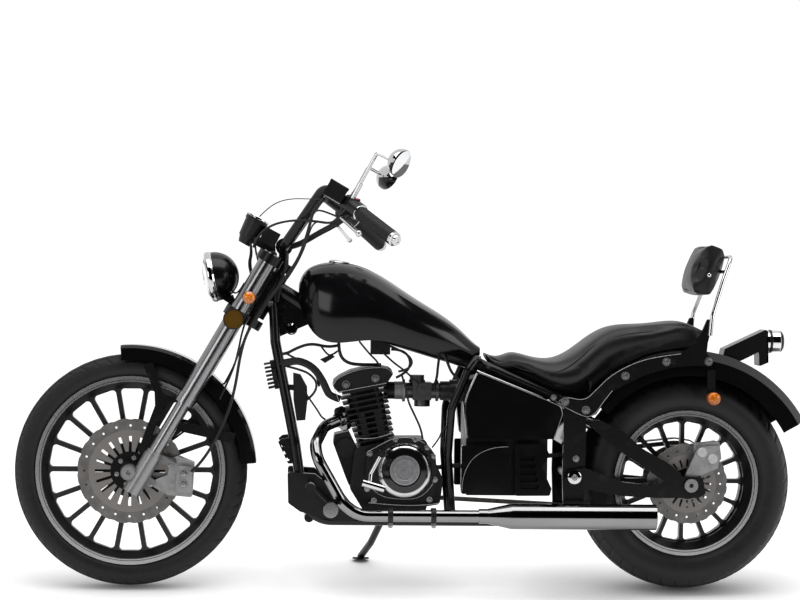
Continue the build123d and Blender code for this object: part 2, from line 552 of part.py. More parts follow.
def frame():
    """Head tube, backbone, cradle, seat rails and pivot plates as one welded frame."""
    head = steer_plane(HEAD_FROM) * Cylinder(HEAD_R, HEAD_TO - HEAD_FROM,
                                             align=(Align.CENTER, Align.CENTER, Align.MIN))
    down = tube(DOWNTUBE, RAIL_R, [60.0, 60.0, 90.0])
    seat_tube = tube([(1036.0, 40.0, 670.0), (1020.0, 104.0, 690.0), (994.0, 118.0, 656.0), (946.0, 118.0, 540.0),
                      (940.0, 84.0, 400.0), (955.0, LOWER_RAIL_Y, LOWER_RAIL_Z)], SEAT_TUBE_R,
                     [20.0, 20.0, 60.0, 60.0])
    upper = tube([(1030.0, 70.0, 678.0), (1060.0, 100.0, 662.0), (1270.0, 108.0, 574.0), (1320.0, 113.0, 552.0)],
                 13.0, [24.0, 60.0])
    pivot = plate([(1280.0, 578.0), (1345.0, 552.0), (1345.0, 420.0), (1340.0, 300.0), (1340.0, 190.0),
                   (1282.0, 190.0), (1276.0, 345.0)], PLATE_IN, PLATE_OUT, 8.0)
    lug = plate([(436.0, 436.0), (448.0, 446.0), (480.0, 450.0), (500.0, 400.0), (500.0, 372.0), (466.0, 372.0)],
                LOWER_RAIL_Y - 4.0, LOWER_RAIL_Y + 2.0, 3.0)
    lug -= rod_y(451.0, 425.0, 5.0, 60, 90) + rod_y(456.0, 404.0, 5.0, 60, 90) + rod_y(465.0, 384.0, 5.0, 60, 90)
    side = Part() + [down, seat_tube, upper, pivot, lug]
    side += bar((1308.0, LOWER_RAIL_Y, LOWER_RAIL_Z), (1308.0, PLATE_IN + 2, LOWER_RAIL_Z), 14.0)
    body = both(side)
    x, y, z = STAND_PIVOT
    body += rod_y(x, z, 13.0, LOWER_RAIL_Y, y - STAND_HEAD_R - GAP)
    body += tube(BACKBONE[:-1] + [(1036.0, 0, 670.0)], BACKBONE_R, BACKBONE_BEND)
    body += plate([(392.0, 852.0), (424.0, 740.0), (560.0, 800.0), (560.0, 826.0), (430.0, 900.0)], -5.0, 5.0)
    body += bar((1036.0, -56.0, 670.0), (1036.0, 56.0, 670.0), 15.0)
    body += bar((1300.0, -PLATE_IN - 2, 548.0), (1300.0, PLATE_IN + 2, 548.0), 14.0)
    body += bar((1308.0, -PLATE_IN - 2, LOWER_RAIL_Z), (1308.0, PLATE_IN + 2, LOWER_RAIL_Z), 14.0)
    body += bar((530.0, -LOWER_RAIL_Y, 212.0), (530.0, LOWER_RAIL_Y, 212.0), 14.0)
    body -= steer_plane(HEAD_FROM - 20) * Cylinder(STEM_R + FIT, HEAD_TO - HEAD_FROM + 40,
                                                   align=(Align.CENTER, Align.CENTER, Align.MIN))
    body += head - steer_plane(HEAD_FROM - 20) * Cylinder(STEM_R + FIT, HEAD_TO - HEAD_FROM + 40,
                                                          align=(Align.CENTER, Align.CENTER, Align.MIN))
    turn, hinge = stand_turn(), Vector(*STAND_PIVOT)
    body -= bar(tuple(hinge - turn * 25.0), tuple(hinge + turn * 25.0), STAND_BOLT_R + GAP)
    return body - rod_y(*PIVOT, 10.0 + FIT, -200, 200)


def swingarm():
    """Two triangulated side members on the pivot spindle."""
    y0, y1 = ARM_Y - ARM_T / 2, ARM_Y + ARM_T / 2
    lower = plate([(1284.0, 340.0), (1290.0, 364.0), (1340.0, 372.0), (1460.0, 330.0), (1560.0, 322.0),
                   (1640.0, 350.0), (1690.0, 346.0), (1700.0, 300.0), (1680.0, 286.0), (1554.0, 285.0),
                   (1450.0, 290.0), (1300.0, 318.0)], y0, y1, 6.0)
    upper = plate([(1348.0, 513.0), (1384.0, 513.0), (1453.0, 480.0), (1508.0, 432.0), (1600.0, 380.0),
                   (1640.0, 340.0), (1600.0, 320.0), (1538.0, 360.0), (1463.0, 409.0), (1376.0, 476.0)], y0, y1, 6.0)
    guard = plate([(1350.0, 407.0), (1655.0, 441.0), (1702.0, 434.0), (1738.0, 411.0), (1740.0, 415.0),
                   (1703.0, 438.0), (1655.0, 445.0), (1350.0, 411.0)], CHAIN_Y - CHAIN_W / 2 - 1.5, y0 + 2.0)
    body = both(lower + upper) + guard
    body += rod_y(1364.0, 500.0, 12.0, -y0 - 2, y0 + 2)
    body += rod_y(*PIVOT, 10.0, -y1 - 8, y1 + 8) + both(rod_y(*PIVOT, 19.0, y1 - 2, y1 + 8))
    body += rod_y(*PIVOT, PIVOT_R, -PLATE_IN + GAP, PLATE_IN - GAP)
    return body - rod_y(WHEELBASE, REAR_AXLE_Z, REAR_AXLE_R + FIT, -200, 200)


def rear_fender():
    """Long fender with deep skirts round the rear tyre, and its narrow front part between the pivot plates."""
    half, r, s, t = REAR_FENDER_HALF, REAR_FENDER_R, REAR_SKIRT_R, FENDER_T
    outer = Polygon((-half, s), (-half, r - 26), (-half + 34, r), (half - 34, r), (half, r - 26), (half, s),
                    (half - t, s), (half - t, r - 26 - t / 2), (half - 34 - t / 2, r - t), (-half + 34 + t / 2, r - t),
                    (-half + t, r - 26 - t / 2), (-half + t, s), align=None)
    start, stop, front = 140.0, 29.0, 163.0
    shell = revolve(Plane.YZ * outer, Axis.Y, start - stop)
    band = Pos(0, r - t / 2) * Rectangle(2 * (PLATE_IN - 8.0), t)
    hugger = revolve(Plane.YZ * band, Axis.Y, front - start + 2.0)
    axle = Pos(WHEELBASE, 0, REAR_AXLE_Z)
    return axle * Rot(0, 90.0 - start, 0) * shell + axle * Rot(0, 90.0 - front, 0) * hugger


def fender_struts():
    """Black side struts that carry the fender, seat and backrest."""
    outline = [(1338.0, 570.0), (1372.0, 604.0), (1416.0, 648.0), (1480.0, 683.0), (1549.0, 704.0), (1623.0, 713.0),
               (1660.0, 737.0), (1684.0, 776.0), (1700.0, 814.0), (1714.0, 814.0), (1713.0, 784.0), (1703.0, 745.0),
               (1700.0, 714.0), (1718.0, 692.0), (1714.0, 674.0), (1658.0, 676.0), (1599.0, 670.0), (1525.0, 650.0),
               (1461.0, 620.0), (1422.0, 598.0), (1396.0, 566.0), (1373.0, 530.0), (1349.0, 519.0), (1324.0, 526.0),
               (1270.0, 553.0), (1260.0, 569.0), (1276.0, 585.0)]
    plate_ = plate(outline, PLATE_OUT, PLATE_OUT + STRUT_T, 5.0)
    return both(plate_)


def sissy_bar():
    """Backrest hoop on the struts."""
    outside = PLATE_OUT + STRUT_T + 7.0
    half = [(1708.0, outside, 766.0), (1714.0, outside, 826.0), (1750.0, 122.0, 930.0),
            (1778.0, 104.0, 1000.0), (1786.0, 0, 1006.0)]
    points = half[:-1] + [(x, -y, z) for x, y, z in reversed(half[:-1])]
    hoop = tube(points, 6.5, [60.0, 60.0, 30.0, 30.0, 60.0, 60.0])
    return hoop + rod_y(1756.9, 955.0, 6.0, -116.0, 116.0)


def back_pad():
    """Backrest cushion with its plate."""
    outline = [(1701.0, 1032.0), (1721.0, 1040.0), (1758.0, 1026.0), (1766.0, 1002.0), (1734.0, 907.0),
               (1718.0, 881.0), (1668.0, 888.0), (1660.0, 911.0), (1672.0, 946.0), (1686.0, 996.0)]
    return plate(outline, -92.0, 92.0, 5.0)


def section(x, top, bottom, half, waist):
    """Tank or seat section square to X: flat floor, bulging sides, domed top."""
    mid = bottom + (top - bottom) * waist
    shoulder = (half * 0.8, bottom + (top - bottom) * 0.86)
    edges = [Line((-half * 0.86, bottom), (half * 0.86, bottom)),
             ThreePointArc((half * 0.86, bottom), (half, mid), shoulder),
             ThreePointArc(shoulder, (0, top), (-shoulder[0], shoulder[1])),
             ThreePointArc((-shoulder[0], shoulder[1]), (-half, mid), (-half * 0.86, bottom))]
    return Plane(origin=(x, 0, 0), x_dir=(0, 1, 0), z_dir=(1, 0, 0)) * make_face(Curve() + edges)


BACKBONE, BACKBONE_R, BACKBONE_BEND = [(430.0, 0, 888.0), (560.0, 0, 810.0), (1060.0, 0, 663.0)], 24.0, 80.0
TANK_SECTIONS = [   # x, top, bottom, half width
    (492.0, 905.0, 846.0, 34.0), (512.0, 944.0, 800.0, 74.0), (560.0, 967.0, 742.0, 108.0),
    (640.0, 968.0, 734.0, 124.0), (760.0, 918.0, 735.0, 126.0), (880.0, 842.0, 708.0, 104.0),
    (980.0, 771.0, 690.0, 66.0), (1036.0, 722.0, 698.0, 34.0)]


def fuel_tank():
    """Teardrop tank over the backbone, with its filler cap."""
    shell = loft([section(x, top, bottom, half, 0.5) for x, top, bottom, half in TANK_SECTIONS])
    half = BACKBONE_R + GAP
    slot = plate([(430.0, 640.0)] + [(x, z) for x, _, z in BACKBONE] + [(1060.0, 640.0)], -half, half)
    shell = shell - slot - tube(BACKBONE, half, BACKBONE_BEND)
    return shell + Pos(612.0, 0, 962.0) * Cylinder(31.0, 16.0)


SEAT_SECTIONS = [   # x, top, bottom, half width
    (1048.0, 713.0, 694.0, 60.0), (1140.0, 704.0, 656.0, 104.0), (1230.0, 686.0, 618.0, 140.0),
    (1290.0, 700.0, 606.0, 150.0), (1370.0, 757.0, 646.0, 140.0), (1440.0, 788.0, 696.0, 124.0),
    (1570.0, 799.0, 742.0, 112.0), (1680.0, 789.0, 757.0, 104.0), (1734.0, 764.0, 760.0, 84.0)]


def seat():
    """Two-up saddle: the cushion, and its pan over the fender."""
    body = loft([section(x, top, bottom, half, 0.45) for x, top, bottom, half in SEAT_SECTIONS])
    pan = plate([(1352.0, 590.0), (1352.0, 668.0), (1440.0, 715.0), (1560.0, 756.0), (1690.0, 762.0), (1690.0, 690.0)],
                -104.0, 104.0)
    pan -= rod_y(WHEELBASE, REAR_AXLE_Z, REAR_FENDER_R + GAP, -200, 200)
    return body + pan


def covers_with_posts(cover, posts):
    """A cover outside the frame on round posts from the central housing, on both sides."""
    body = cover
    for x, z in posts:
        body += rod_y(x, z, 6.0, BOX_HALF + GAP, COVER_IN + 2.0)
    return both(body)


def side_covers():
    """Upper panel, square cover and louvred cover on each side."""
    upper = plate([(1020.0, 652.0), (1262.0, 558.0), (1272.0, 528.0), (1248.0, 456.0), (990.0, 452.0),
                   (977.0, 569.0)], COVER_IN, COVER_OUT, 8.0)
    square = plate([(975.0, 293.0), (975.0, 435.0), (1118.0, 435.0), (1118.0, 293.0)], COVER_IN, COVER_OUT - 2, 6.0)
    louvre = plate([(1132.0, 440.0), (1221.0, 441.0), (1235.0, 410.0), (1213.0, 373.0), (1242.0, 310.0),
                    (1237.0, 289.0), (1135.0, 288.0)], COVER_IN, COVER_OUT - 2, 6.0)
    for i in range(5):
        z = 392.0 - i * 20.8
        louvre -= plate([(1149.0, z), (1149.0, z + 12.0), (1192.0 + i * 3, z + 12.0), (1188.0 + i * 3, z)],
                        COVER_OUT - 12.0, COVER_OUT)
    return covers_with_posts(upper, [(1010.0, 480.0), (1220.0, 480.0), (1040.0, 600.0)]) + \
        covers_with_posts(square, [(1004.0, 305.0), (1108.0, 305.0), (1004.0, 423.0), (1108.0, 423.0)]) + \
        covers_with_posts(louvre, [(1146.0, 300.0), (1225.0, 300.0), (1146.0, 430.0), (1216.0, 430.0)])


def electrical_boxes():
    """Central housing under the seat, the finned regulator on the downtubes and the coil under the tank."""
    outline = [(BOX_FRONT, 284.0), (BOX_FRONT, 626.0), (1040.0, 636.0), (1235.0, 540.0), (1235.0, 284.0)]
    body = plate(outline, -BOX_HALF, BOX_HALF, 6.0)
    low, high = Vector(*DOWNTUBE[2]), Vector(*DOWNTUBE[1])
    slope = Vector(high.X - low.X, 0, high.Z - low.Z).normalized()
    seat_ = low + (high - low) * 0.69
    centre = Vector(seat_.X, 0, seat_.Z) - Vector(slope.Z, 0, -slope.X) * (RAIL_R + GAP + 6.0)
    on_tubes = Plane(origin=centre, x_dir=(slope.Z, 0, -slope.X), z_dir=slope)
    regulator = on_tubes * Box(12.0, 112.0, 34.0) + on_tubes * Box(12.0, 72.0, 86.0)
    for i in range(7):
        regulator += on_tubes * Pos(-12.0, 0, -36.0 + 12.0 * i) * Box(26.0, 66.0, 5.0)
    return body + regulator


PEG, CHIN_OUT = (590.0, 258.0), 112.0


def footrests():
    """Lower side plates ahead of the engine with the forward pegs, pedal ends and the near side's foot lever."""
    outline = [(465.0, 350.0), (468.0, 259.0), (503.0, 234.0), (562.0, 216.0), (606.0, 208.0), (666.0, 206.0),
               (668.0, 226.0), (623.0, 284.0), (590.0, 312.0), (546.0, 345.0)]
    side = plate(outline, LOWER_RAIL_Y + RAIL_R + GAP, CHIN_OUT, 8.0)
    x, z = PEG
    arm = rod_y(x, z, 11.0, CHIN_OUT - 2, 216.0)
    peg = rod_y(x, z, 17.0, 210.0, 286.0) + rod_y(x, z, 22.0, 280.0, 288.0)
    rod = bar((x, 133.0, z), (532.0, 133.0, 317.0), 6.0) + rod_y(532.0, 317.0, 9.0, 121.0, 230.0)
    rod += rod_y(532.0, 317.0, 15.0, 222.0, 262.0)
    face = -CASE_HALF - CASE_COVER - GAP
    lever = rod_y(738.0, 414.0, 7.0, -196.0, face) + rod_y(738.0, 414.0, 11.0, -204.0, -190.0)
    lever += bar((738.0, -197.0, 414.0), (707.0, -197.0, 354.0), 5.5)
    lever += bar((707.0, -197.0, 354.0), (704.0, -206.0, 326.0), 5.5)
    lever += bar((683.0, -206.0, 330.0), (746.0, -206.0, 312.0), 11.0)
    return both(side + arm + peg + rod) + lever


def rear_lamps():
    """Tail lamp barrel on its arm at the fender's tail, and the indicators on plates from the skirts."""
    arm = plate([(1768.0, 690.0), (1776.0, 724.0), (1900.0, 783.0), (1908.0, 778.0), (1910.0, 684.0),
                 (1882.0, 672.0), (1880.0, 716.0), (1850.0, 700.0), (1800.0, 676.0)], -34.0, 34.0, 3.0)
    arm -= rod_y(WHEELBASE, REAR_AXLE_Z, REAR_FENDER_R + GAP, -50, 50)
    barrel = Polygon((0, 0), (34.0, 0), (34.0, 14.0), (35.5, 14.0), (35.5, 22.0), (34.0, 22.0), (34.0, 46.0),
                     (31.0, 53.0), (26.0, 57.0), (0, 58.0), align=None)
    lamp = Pos(1902.0, 0, 747.0) * Rot(0, 90, 0) * revolve(Plane.XZ * barrel, Axis.Z)
    skin = REAR_FENDER_HALF + GAP
    tab = plate([(1704.0, 664.0), (1728.0, 664.0), (1728.0, 600.0), (1726.0, 566.0), (1710.0, 566.0), (1704.0, 600.0)],
                skin, skin + 4.0, 4.0)
    bullet = rod_y(1718.0, 580.0, 7.0, skin + 2.0, skin + 22.0) + rod_y(1718.0, 580.0, 19.0, skin + 18.0, skin + 38.0)
    bullet += Pos(1718.0, skin + 38.0, 580.0) * scale(Sphere(18.6), by=(1, 0.5, 1))
    return arm + lamp + both(tab + bullet)


def rear_caliper():
    """Caliper over the rear disc, on its bracket."""
    inside = -(ARM_Y - ARM_T / 2 - GAP)
    body = plate([(1666.0, 440.0), (1745.0, 452.0), (1752.0, 400.0), (1730.0, 366.0), (1680.0, 380.0)], inside + 12.0,
                 -70.0, 8.0)
    body -= rod_y(WHEELBASE, REAR_AXLE_Z, REAR_DISC_R + 5.0, REAR_DISC_Y - DISC_T, REAR_DISC_Y + DISC_T)
    bracket = plate([(1640.0, 346.0), (1676.0, 346.0), (1740.0, 372.0), (1745.0, 440.0), (1680.0, 436.0)], inside,
                    inside + 12.0, 6.0)
    return body + bracket


def side_stand():
    """Leg with its foot, in the down position."""
    p = Vector(*STAND_PIVOT)
    foot = stand_foot()
    leg = tube([tuple(p), tuple(p + (foot - p) * 0.55 + Vector(0, 0, -8)), tuple(foot + Vector(0, 0, 9))], STAND_R,
               120.0)
    pad = Pos(*foot) * Rot(-LEAN, 0, 0) * Cylinder(26.0, 6.0, align=(Align.CENTER, Align.CENTER, Align.MIN))
    turn = stand_turn()
    bolt = bar(tuple(p - turn * 24.0), tuple(p + turn * 24.0), STAND_BOLT_R)
    return leg + Pos(*STAND_PIVOT) * Sphere(STAND_HEAD_R) + pad + bolt


def stand_turn():
    """Direction of the stand's hinge bolt, square to the leg both down and folded."""
    return (stand_foot() - Vector(*STAND_PIVOT)).cross(Vector(*STAND_FOLDED)).normalized()


def stand_foot():
    """Centre of the foot's sole, on the leaning bike's ground."""
    y = STAND_PIVOT[1] + STAND_REACH[1]
    sink = (REAR_CROWN_R + FRONT_CROWN_R) / 2 * (1 - cos(radians(LEAN)))
    return Vector(STAND_PIVOT[0] + STAND_REACH[0], y, y * tan(radians(LEAN)) - sink / cos(radians(LEAN)))


# ---------------------------------------------------------------- wheels' bodies and drive
def front_wheel():
    """Tyre, rim and disc of the front wheel."""
    z = FRONT_AXLE_Z
    return {
        "front_tyre": on_axle(0, z, tyre(FRONT_TYRE_R, FRONT_TYRE_HALF, FRONT_CROWN_R, FRONT_RIM_R, FRONT_RIM_HALF)),
        "front_rim": on_axle(0, z, spoked_rim(FRONT_RIM_R, FRONT_RIM_HALF, FRONT_SPOKES, FRONT_SPOKE_W,
                                              FRONT_SPOKE_T, FRONT_HUB_R, -FRONT_HUB_HALF, -FRONT_DISC_Y - DISC_T / 2,
                                              FRONT_AXLE_R + FIT)),
        "front_brake_disc": on_axle(0, z, brake_disc(FRONT_DISC_R, 30.0, -FRONT_DISC_Y - DISC_T / 2)),
    }


def rear_wheel():
    """Tyre, rim, disc and sprocket of the rear wheel."""
    x, z = WHEELBASE, REAR_AXLE_Z
    sprocket = Circle(SPROCKET_R) - [loc * Circle(12.0) for loc in PolarLocations(62.0, 8)] - Circle(24.0)
    return {
        "rear_tyre": on_axle(x, z, tyre(REAR_TYRE_R, REAR_TYRE_HALF, REAR_CROWN_R, REAR_RIM_R, REAR_RIM_HALF)),
        "rear_rim": on_axle(x, z, spoked_rim(REAR_RIM_R, REAR_RIM_HALF, REAR_SPOKES, REAR_SPOKE_W, REAR_SPOKE_T,
                                             REAR_HUB_R, 4.0 - CHAIN_Y, -REAR_DISC_Y - DISC_T / 2,
                                             REAR_AXLE_R + FIT)),
        "rear_brake_disc": on_axle(x, z, brake_disc(REAR_DISC_R, 30.0, -REAR_DISC_Y - DISC_T / 2)),
        "rear_sprocket": on_axle(x, z, Pos(0, 0, -CHAIN_Y - 4.0) * extrude(sprocket, amount=8.0)),
    }


def drive_chain():
    """Chain loop between the engine's output and the rear sprocket."""
    big = Pos(WHEELBASE, REAR_AXLE_Z) * Circle(SPROCKET_R + CHAIN_CLEAR + CHAIN_H)
    small = Pos(*DRIVE_AXIS) * Circle(DRIVE_SPROCKET_R + CHAIN_CLEAR + CHAIN_H)
    loop = make_hull((Sketch() + [big, small]).edges())
    big_in = Pos(WHEELBASE, REAR_AXLE_Z) * Circle(SPROCKET_R + CHAIN_CLEAR)
    small_in = Pos(*DRIVE_AXIS) * Circle(DRIVE_SPROCKET_R + CHAIN_CLEAR)
    loop -= make_hull((Sketch() + [big_in, small_in]).edges())
    side = Plane(origin=(0, CHAIN_Y + CHAIN_W / 2, 0), x_dir=(1, 0, 0), z_dir=(0, -1, 0))
    return extrude(side * loop, amount=CHAIN_W, dir=(0, -1, 0))


def front_axle():
    """Hollow front spindle."""
    body = rod_y(0, FRONT_AXLE_Z, FRONT_AXLE_R, -120.0, 120.0)
    body += rod_y(0, FRONT_AXLE_Z, 19.0, -121.0, -117.0 - GAP) + rod_y(0, FRONT_AXLE_Z, 19.0, 117.0 + GAP, 128.0)
    return body - rod_y(0, FRONT_AXLE_Z, FRONT_AXLE_BORE_R, -140, 140)


def rear_axle():
    """Hollow rear spindle with its nut."""
    x, z, face = WHEELBASE, REAR_AXLE_Z, ARM_Y + ARM_T / 2
    body = rod_y(x, z, REAR_AXLE_R, -face - 12.0, face + 12.0)
    body += rod_y(x, z, 20.0, -face - 12.0, -face - GAP) + rod_y(x, z, 20.0, face + GAP, face + 12.0)
    return body - rod_y(x, z, REAR_AXLE_BORE_R, -200, 200)


def stance(nodes):
    """Leans the upright bike on its stand and centres it, with the lowest point on the floor."""
    lean = Rot(-LEAN, 0, 0)
    boxes = [(lean * shape).bounding_box() for shape in nodes.values()]
    x = (min(b.min.X for b in boxes) + max(b.max.X for b in boxes)) / 2
    y = (min(b.min.Y for b in boxes) + max(b.max.Y for b in boxes)) / 2
    return Pos(-x, -y, -min(b.min.Z for b in boxes)) * lean


def build():
    """Every node, upright."""
    nodes = {}
    nodes.update(front_wheel())
    nodes.update(rear_wheel())
    for make in (front_axle, fork_lowers, fork_uppers, fork_yokes, front_fender, fender_stays, front_caliper,
                 headlamp_shell, headlamp_lens, gauges, handlebar, grips, hand_controls, mirrors, front_indicators,
                 frame, swingarm, rear_axle, engine_case, engine_cylinder, clutch_cover, carburettor, exhaust_pipe,
                 muffler, fuel_tank, seat, back_pad, sissy_bar, rear_fender, fender_struts, side_covers,
                 electrical_boxes, footrests, rear_lamps, rear_caliper,
                 drive_chain, side_stand):
        nodes[make.__name__] = make()
    return nodes


def main():
    """Writes one STEP file for each node."""
    os.makedirs("parts", exist_ok=True)
    nodes = build()
    placed = stance(nodes)
    for name, shape in nodes.items():
        export_step(placed * shape, f"parts/{name}.step")


if __name__ == "__main__":
    main()
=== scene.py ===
"""Cruiser motorcycle on its side stand: its finishes, upholstery, cables and small fittings."""

import math

import bmesh
import bpy
import numpy as np
from mathutils import Matrix, Vector
from mathutils.bvhtree import BVHTree


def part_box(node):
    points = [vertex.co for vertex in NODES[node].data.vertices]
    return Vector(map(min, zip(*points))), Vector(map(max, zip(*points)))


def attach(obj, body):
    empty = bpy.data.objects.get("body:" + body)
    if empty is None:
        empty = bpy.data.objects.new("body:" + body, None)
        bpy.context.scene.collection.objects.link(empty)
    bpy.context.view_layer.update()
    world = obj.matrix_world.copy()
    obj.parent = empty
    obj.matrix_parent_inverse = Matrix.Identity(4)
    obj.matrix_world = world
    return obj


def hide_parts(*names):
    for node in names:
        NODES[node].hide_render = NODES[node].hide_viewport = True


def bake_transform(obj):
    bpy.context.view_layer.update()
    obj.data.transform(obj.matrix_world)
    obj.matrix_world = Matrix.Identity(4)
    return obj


bl_info = {
    "name": "Cruiser Motorcycle",
    "version": (1, 0, 0),
    "blender": (4, 5, 0),
    "location": "View3D > Sidebar > Cruiser",
    "description": "Dresses the cruiser motorcycle with its finishes, upholstery, cables and small fittings",
    "category": "Object",
}

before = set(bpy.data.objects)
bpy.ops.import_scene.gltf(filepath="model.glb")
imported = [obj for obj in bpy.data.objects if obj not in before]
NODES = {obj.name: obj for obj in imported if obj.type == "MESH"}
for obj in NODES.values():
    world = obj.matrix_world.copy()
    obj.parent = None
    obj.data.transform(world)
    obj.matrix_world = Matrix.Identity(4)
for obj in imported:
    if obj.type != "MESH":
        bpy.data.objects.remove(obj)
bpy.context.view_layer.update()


# ---------------------------------------------------------------- the motorcycle's own upright axes
LEAN = math.radians(7.0)
FRONT_AXLE = (0.0, 0.0, 345.0)
REAR_AXLE = (1655.0, 0.0, 323.0)
CLUTCH_CENTRE = (809.0, 0.0, 360.0)
RAKE = math.radians(30.0)
LEG_FOOT = (0.0303, 0.3275)      # foot of the fork leg's line, in metres
DIAL_OUT = (0.474, 0.88)         # the dial's outward direction, in x and z
DIAL_CENTRE = (366.7, 1097.3)
LAMP_TILT = math.radians(10.8)
LAMP_FACE = (225.0, 0.0, 920.0)
LAMP_OUT = (-math.cos(LAMP_TILT), 0.0, -math.sin(LAMP_TILT))


def hub_centre(tyre):
    """Middle of a wheel in the row frame, in metres."""
    low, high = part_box(tyre)
    return (low + high) / 2


TILT = Matrix.Rotation(-LEAN, 4, "X")
SHIFT = hub_centre("front_tyre") - TILT @ (Vector(FRONT_AXLE) / 1000)
LEANED = Matrix.Translation(SHIFT) @ TILT


def at(x, y, z):
    """Row-frame point of upright millimetres: x rearward of the front axle, -y the exhaust side, z up."""
    return LEANED @ (Vector((x, y, z)) / 1000)


def toward(x, y, z):
    """Row-frame direction of an upright direction."""
    return (TILT.to_3x3() @ Vector((x, y, z))).normalized()


# ---------------------------------------------------------------- shader expressions
class Value:
    """A shader socket that takes part in sums and products."""

    def __init__(self, graph, socket):
        self.graph, self.socket = graph, socket

    def math(self, operation, *others):
        """One Math node on this value and the others."""
        return self.graph.node("ShaderNodeMath", {"operation": operation}, dict(enumerate((self, *others))))

    def __add__(self, other):
        return self.math("ADD", other)

    def __sub__(self, other):
        return self.math("SUBTRACT", other)

    def __mul__(self, other):
        return self.math("MULTIPLY", other)

    def __rsub__(self, other):
        return self.graph.number(other).math("SUBTRACT", self)

    __radd__ = __add__
    __rmul__ = __mul__

    def power(self, other):
        """This value raised to the other."""
        return self.math("POWER", other)

    def size(self):
        """This value without its sign."""
        return self.math("ABSOLUTE")

    def root(self):
        """Square root."""
        return self.math("SQRT")

    def above(self, edge):
        """1 where the value is over the edge."""
        return self.math("GREATER_THAN", edge)

    def below(self, edge):
        """1 where the value is under the edge."""
        return self.math("LESS_THAN", edge)

    def largest(self, other):
        """The larger of the two."""
        return self.math("MAXIMUM", other)

    def least(self, other):
        """The smaller of the two."""
        return self.math("MINIMUM", other)

    def ramp(self, low, high):
        """0 below low, 1 above high, smooth between them."""
        settings = {"interpolation_type": "SMOOTHSTEP", "clamp": True}
        reach = {"Value": self, "From Min": low, "From Max": high, "To Min": 0.0, "To Max": 1.0}
        return self.graph.node("ShaderNodeMapRange", settings, reach)

    def band(self, low, high, soft):
        """1 between low and high, with soft edges."""
        return self.ramp(low - soft, low) * (1 - self.ramp(high, high + soft))

    def wave(self, pitch):
        """Sine of the value, from -1 to 1 over each pitch."""
        return (self * (2 * math.pi / pitch)).math("SINE")


class Graph:
    """A node tree, whose nodes are made by one call."""

    def __init__(self, tree):
        self.tree = tree
        tree.nodes.clear()

    def node(self, kind, settings, sockets, output=0):
        """A node with its settings, its sockets' values or links, and the output that is wanted."""
        made = self.tree.nodes.new(kind)
        for key, value in settings.items():
            setattr(made, key, value)
        for key, value in sockets.items():
            self.feed(made.inputs[key], value)
        return Value(self, made.outputs[output])

    def feed(self, socket, value):
        """Links a value to a socket, or sets the socket to a number or colour."""
        if isinstance(value, Value):
            self.tree.links.new(value.socket, socket)
        elif isinstance(value, (tuple, list)) and len(value) == 3 and socket.type == "RGBA":
            socket.default_value = (*value, 1.0)
        else:
            socket.default_value = value

    def number(self, value):
        """A plain number as a value."""
        made = self.tree.nodes.new("ShaderNodeValue")
        made.outputs[0].default_value = value
        return Value(self, made.outputs[0])

    def seen_by_eye(self):
        """1 for rays from the camera, and for those that metal and glass send on."""
        rays = [self.node("ShaderNodeLightPath", {}, {}, output)
                for output in ("Is Camera Ray", "Is Glossy Ray", "Is Transmission Ray")]
        return rays[0].largest(rays[1]).largest(rays[2])


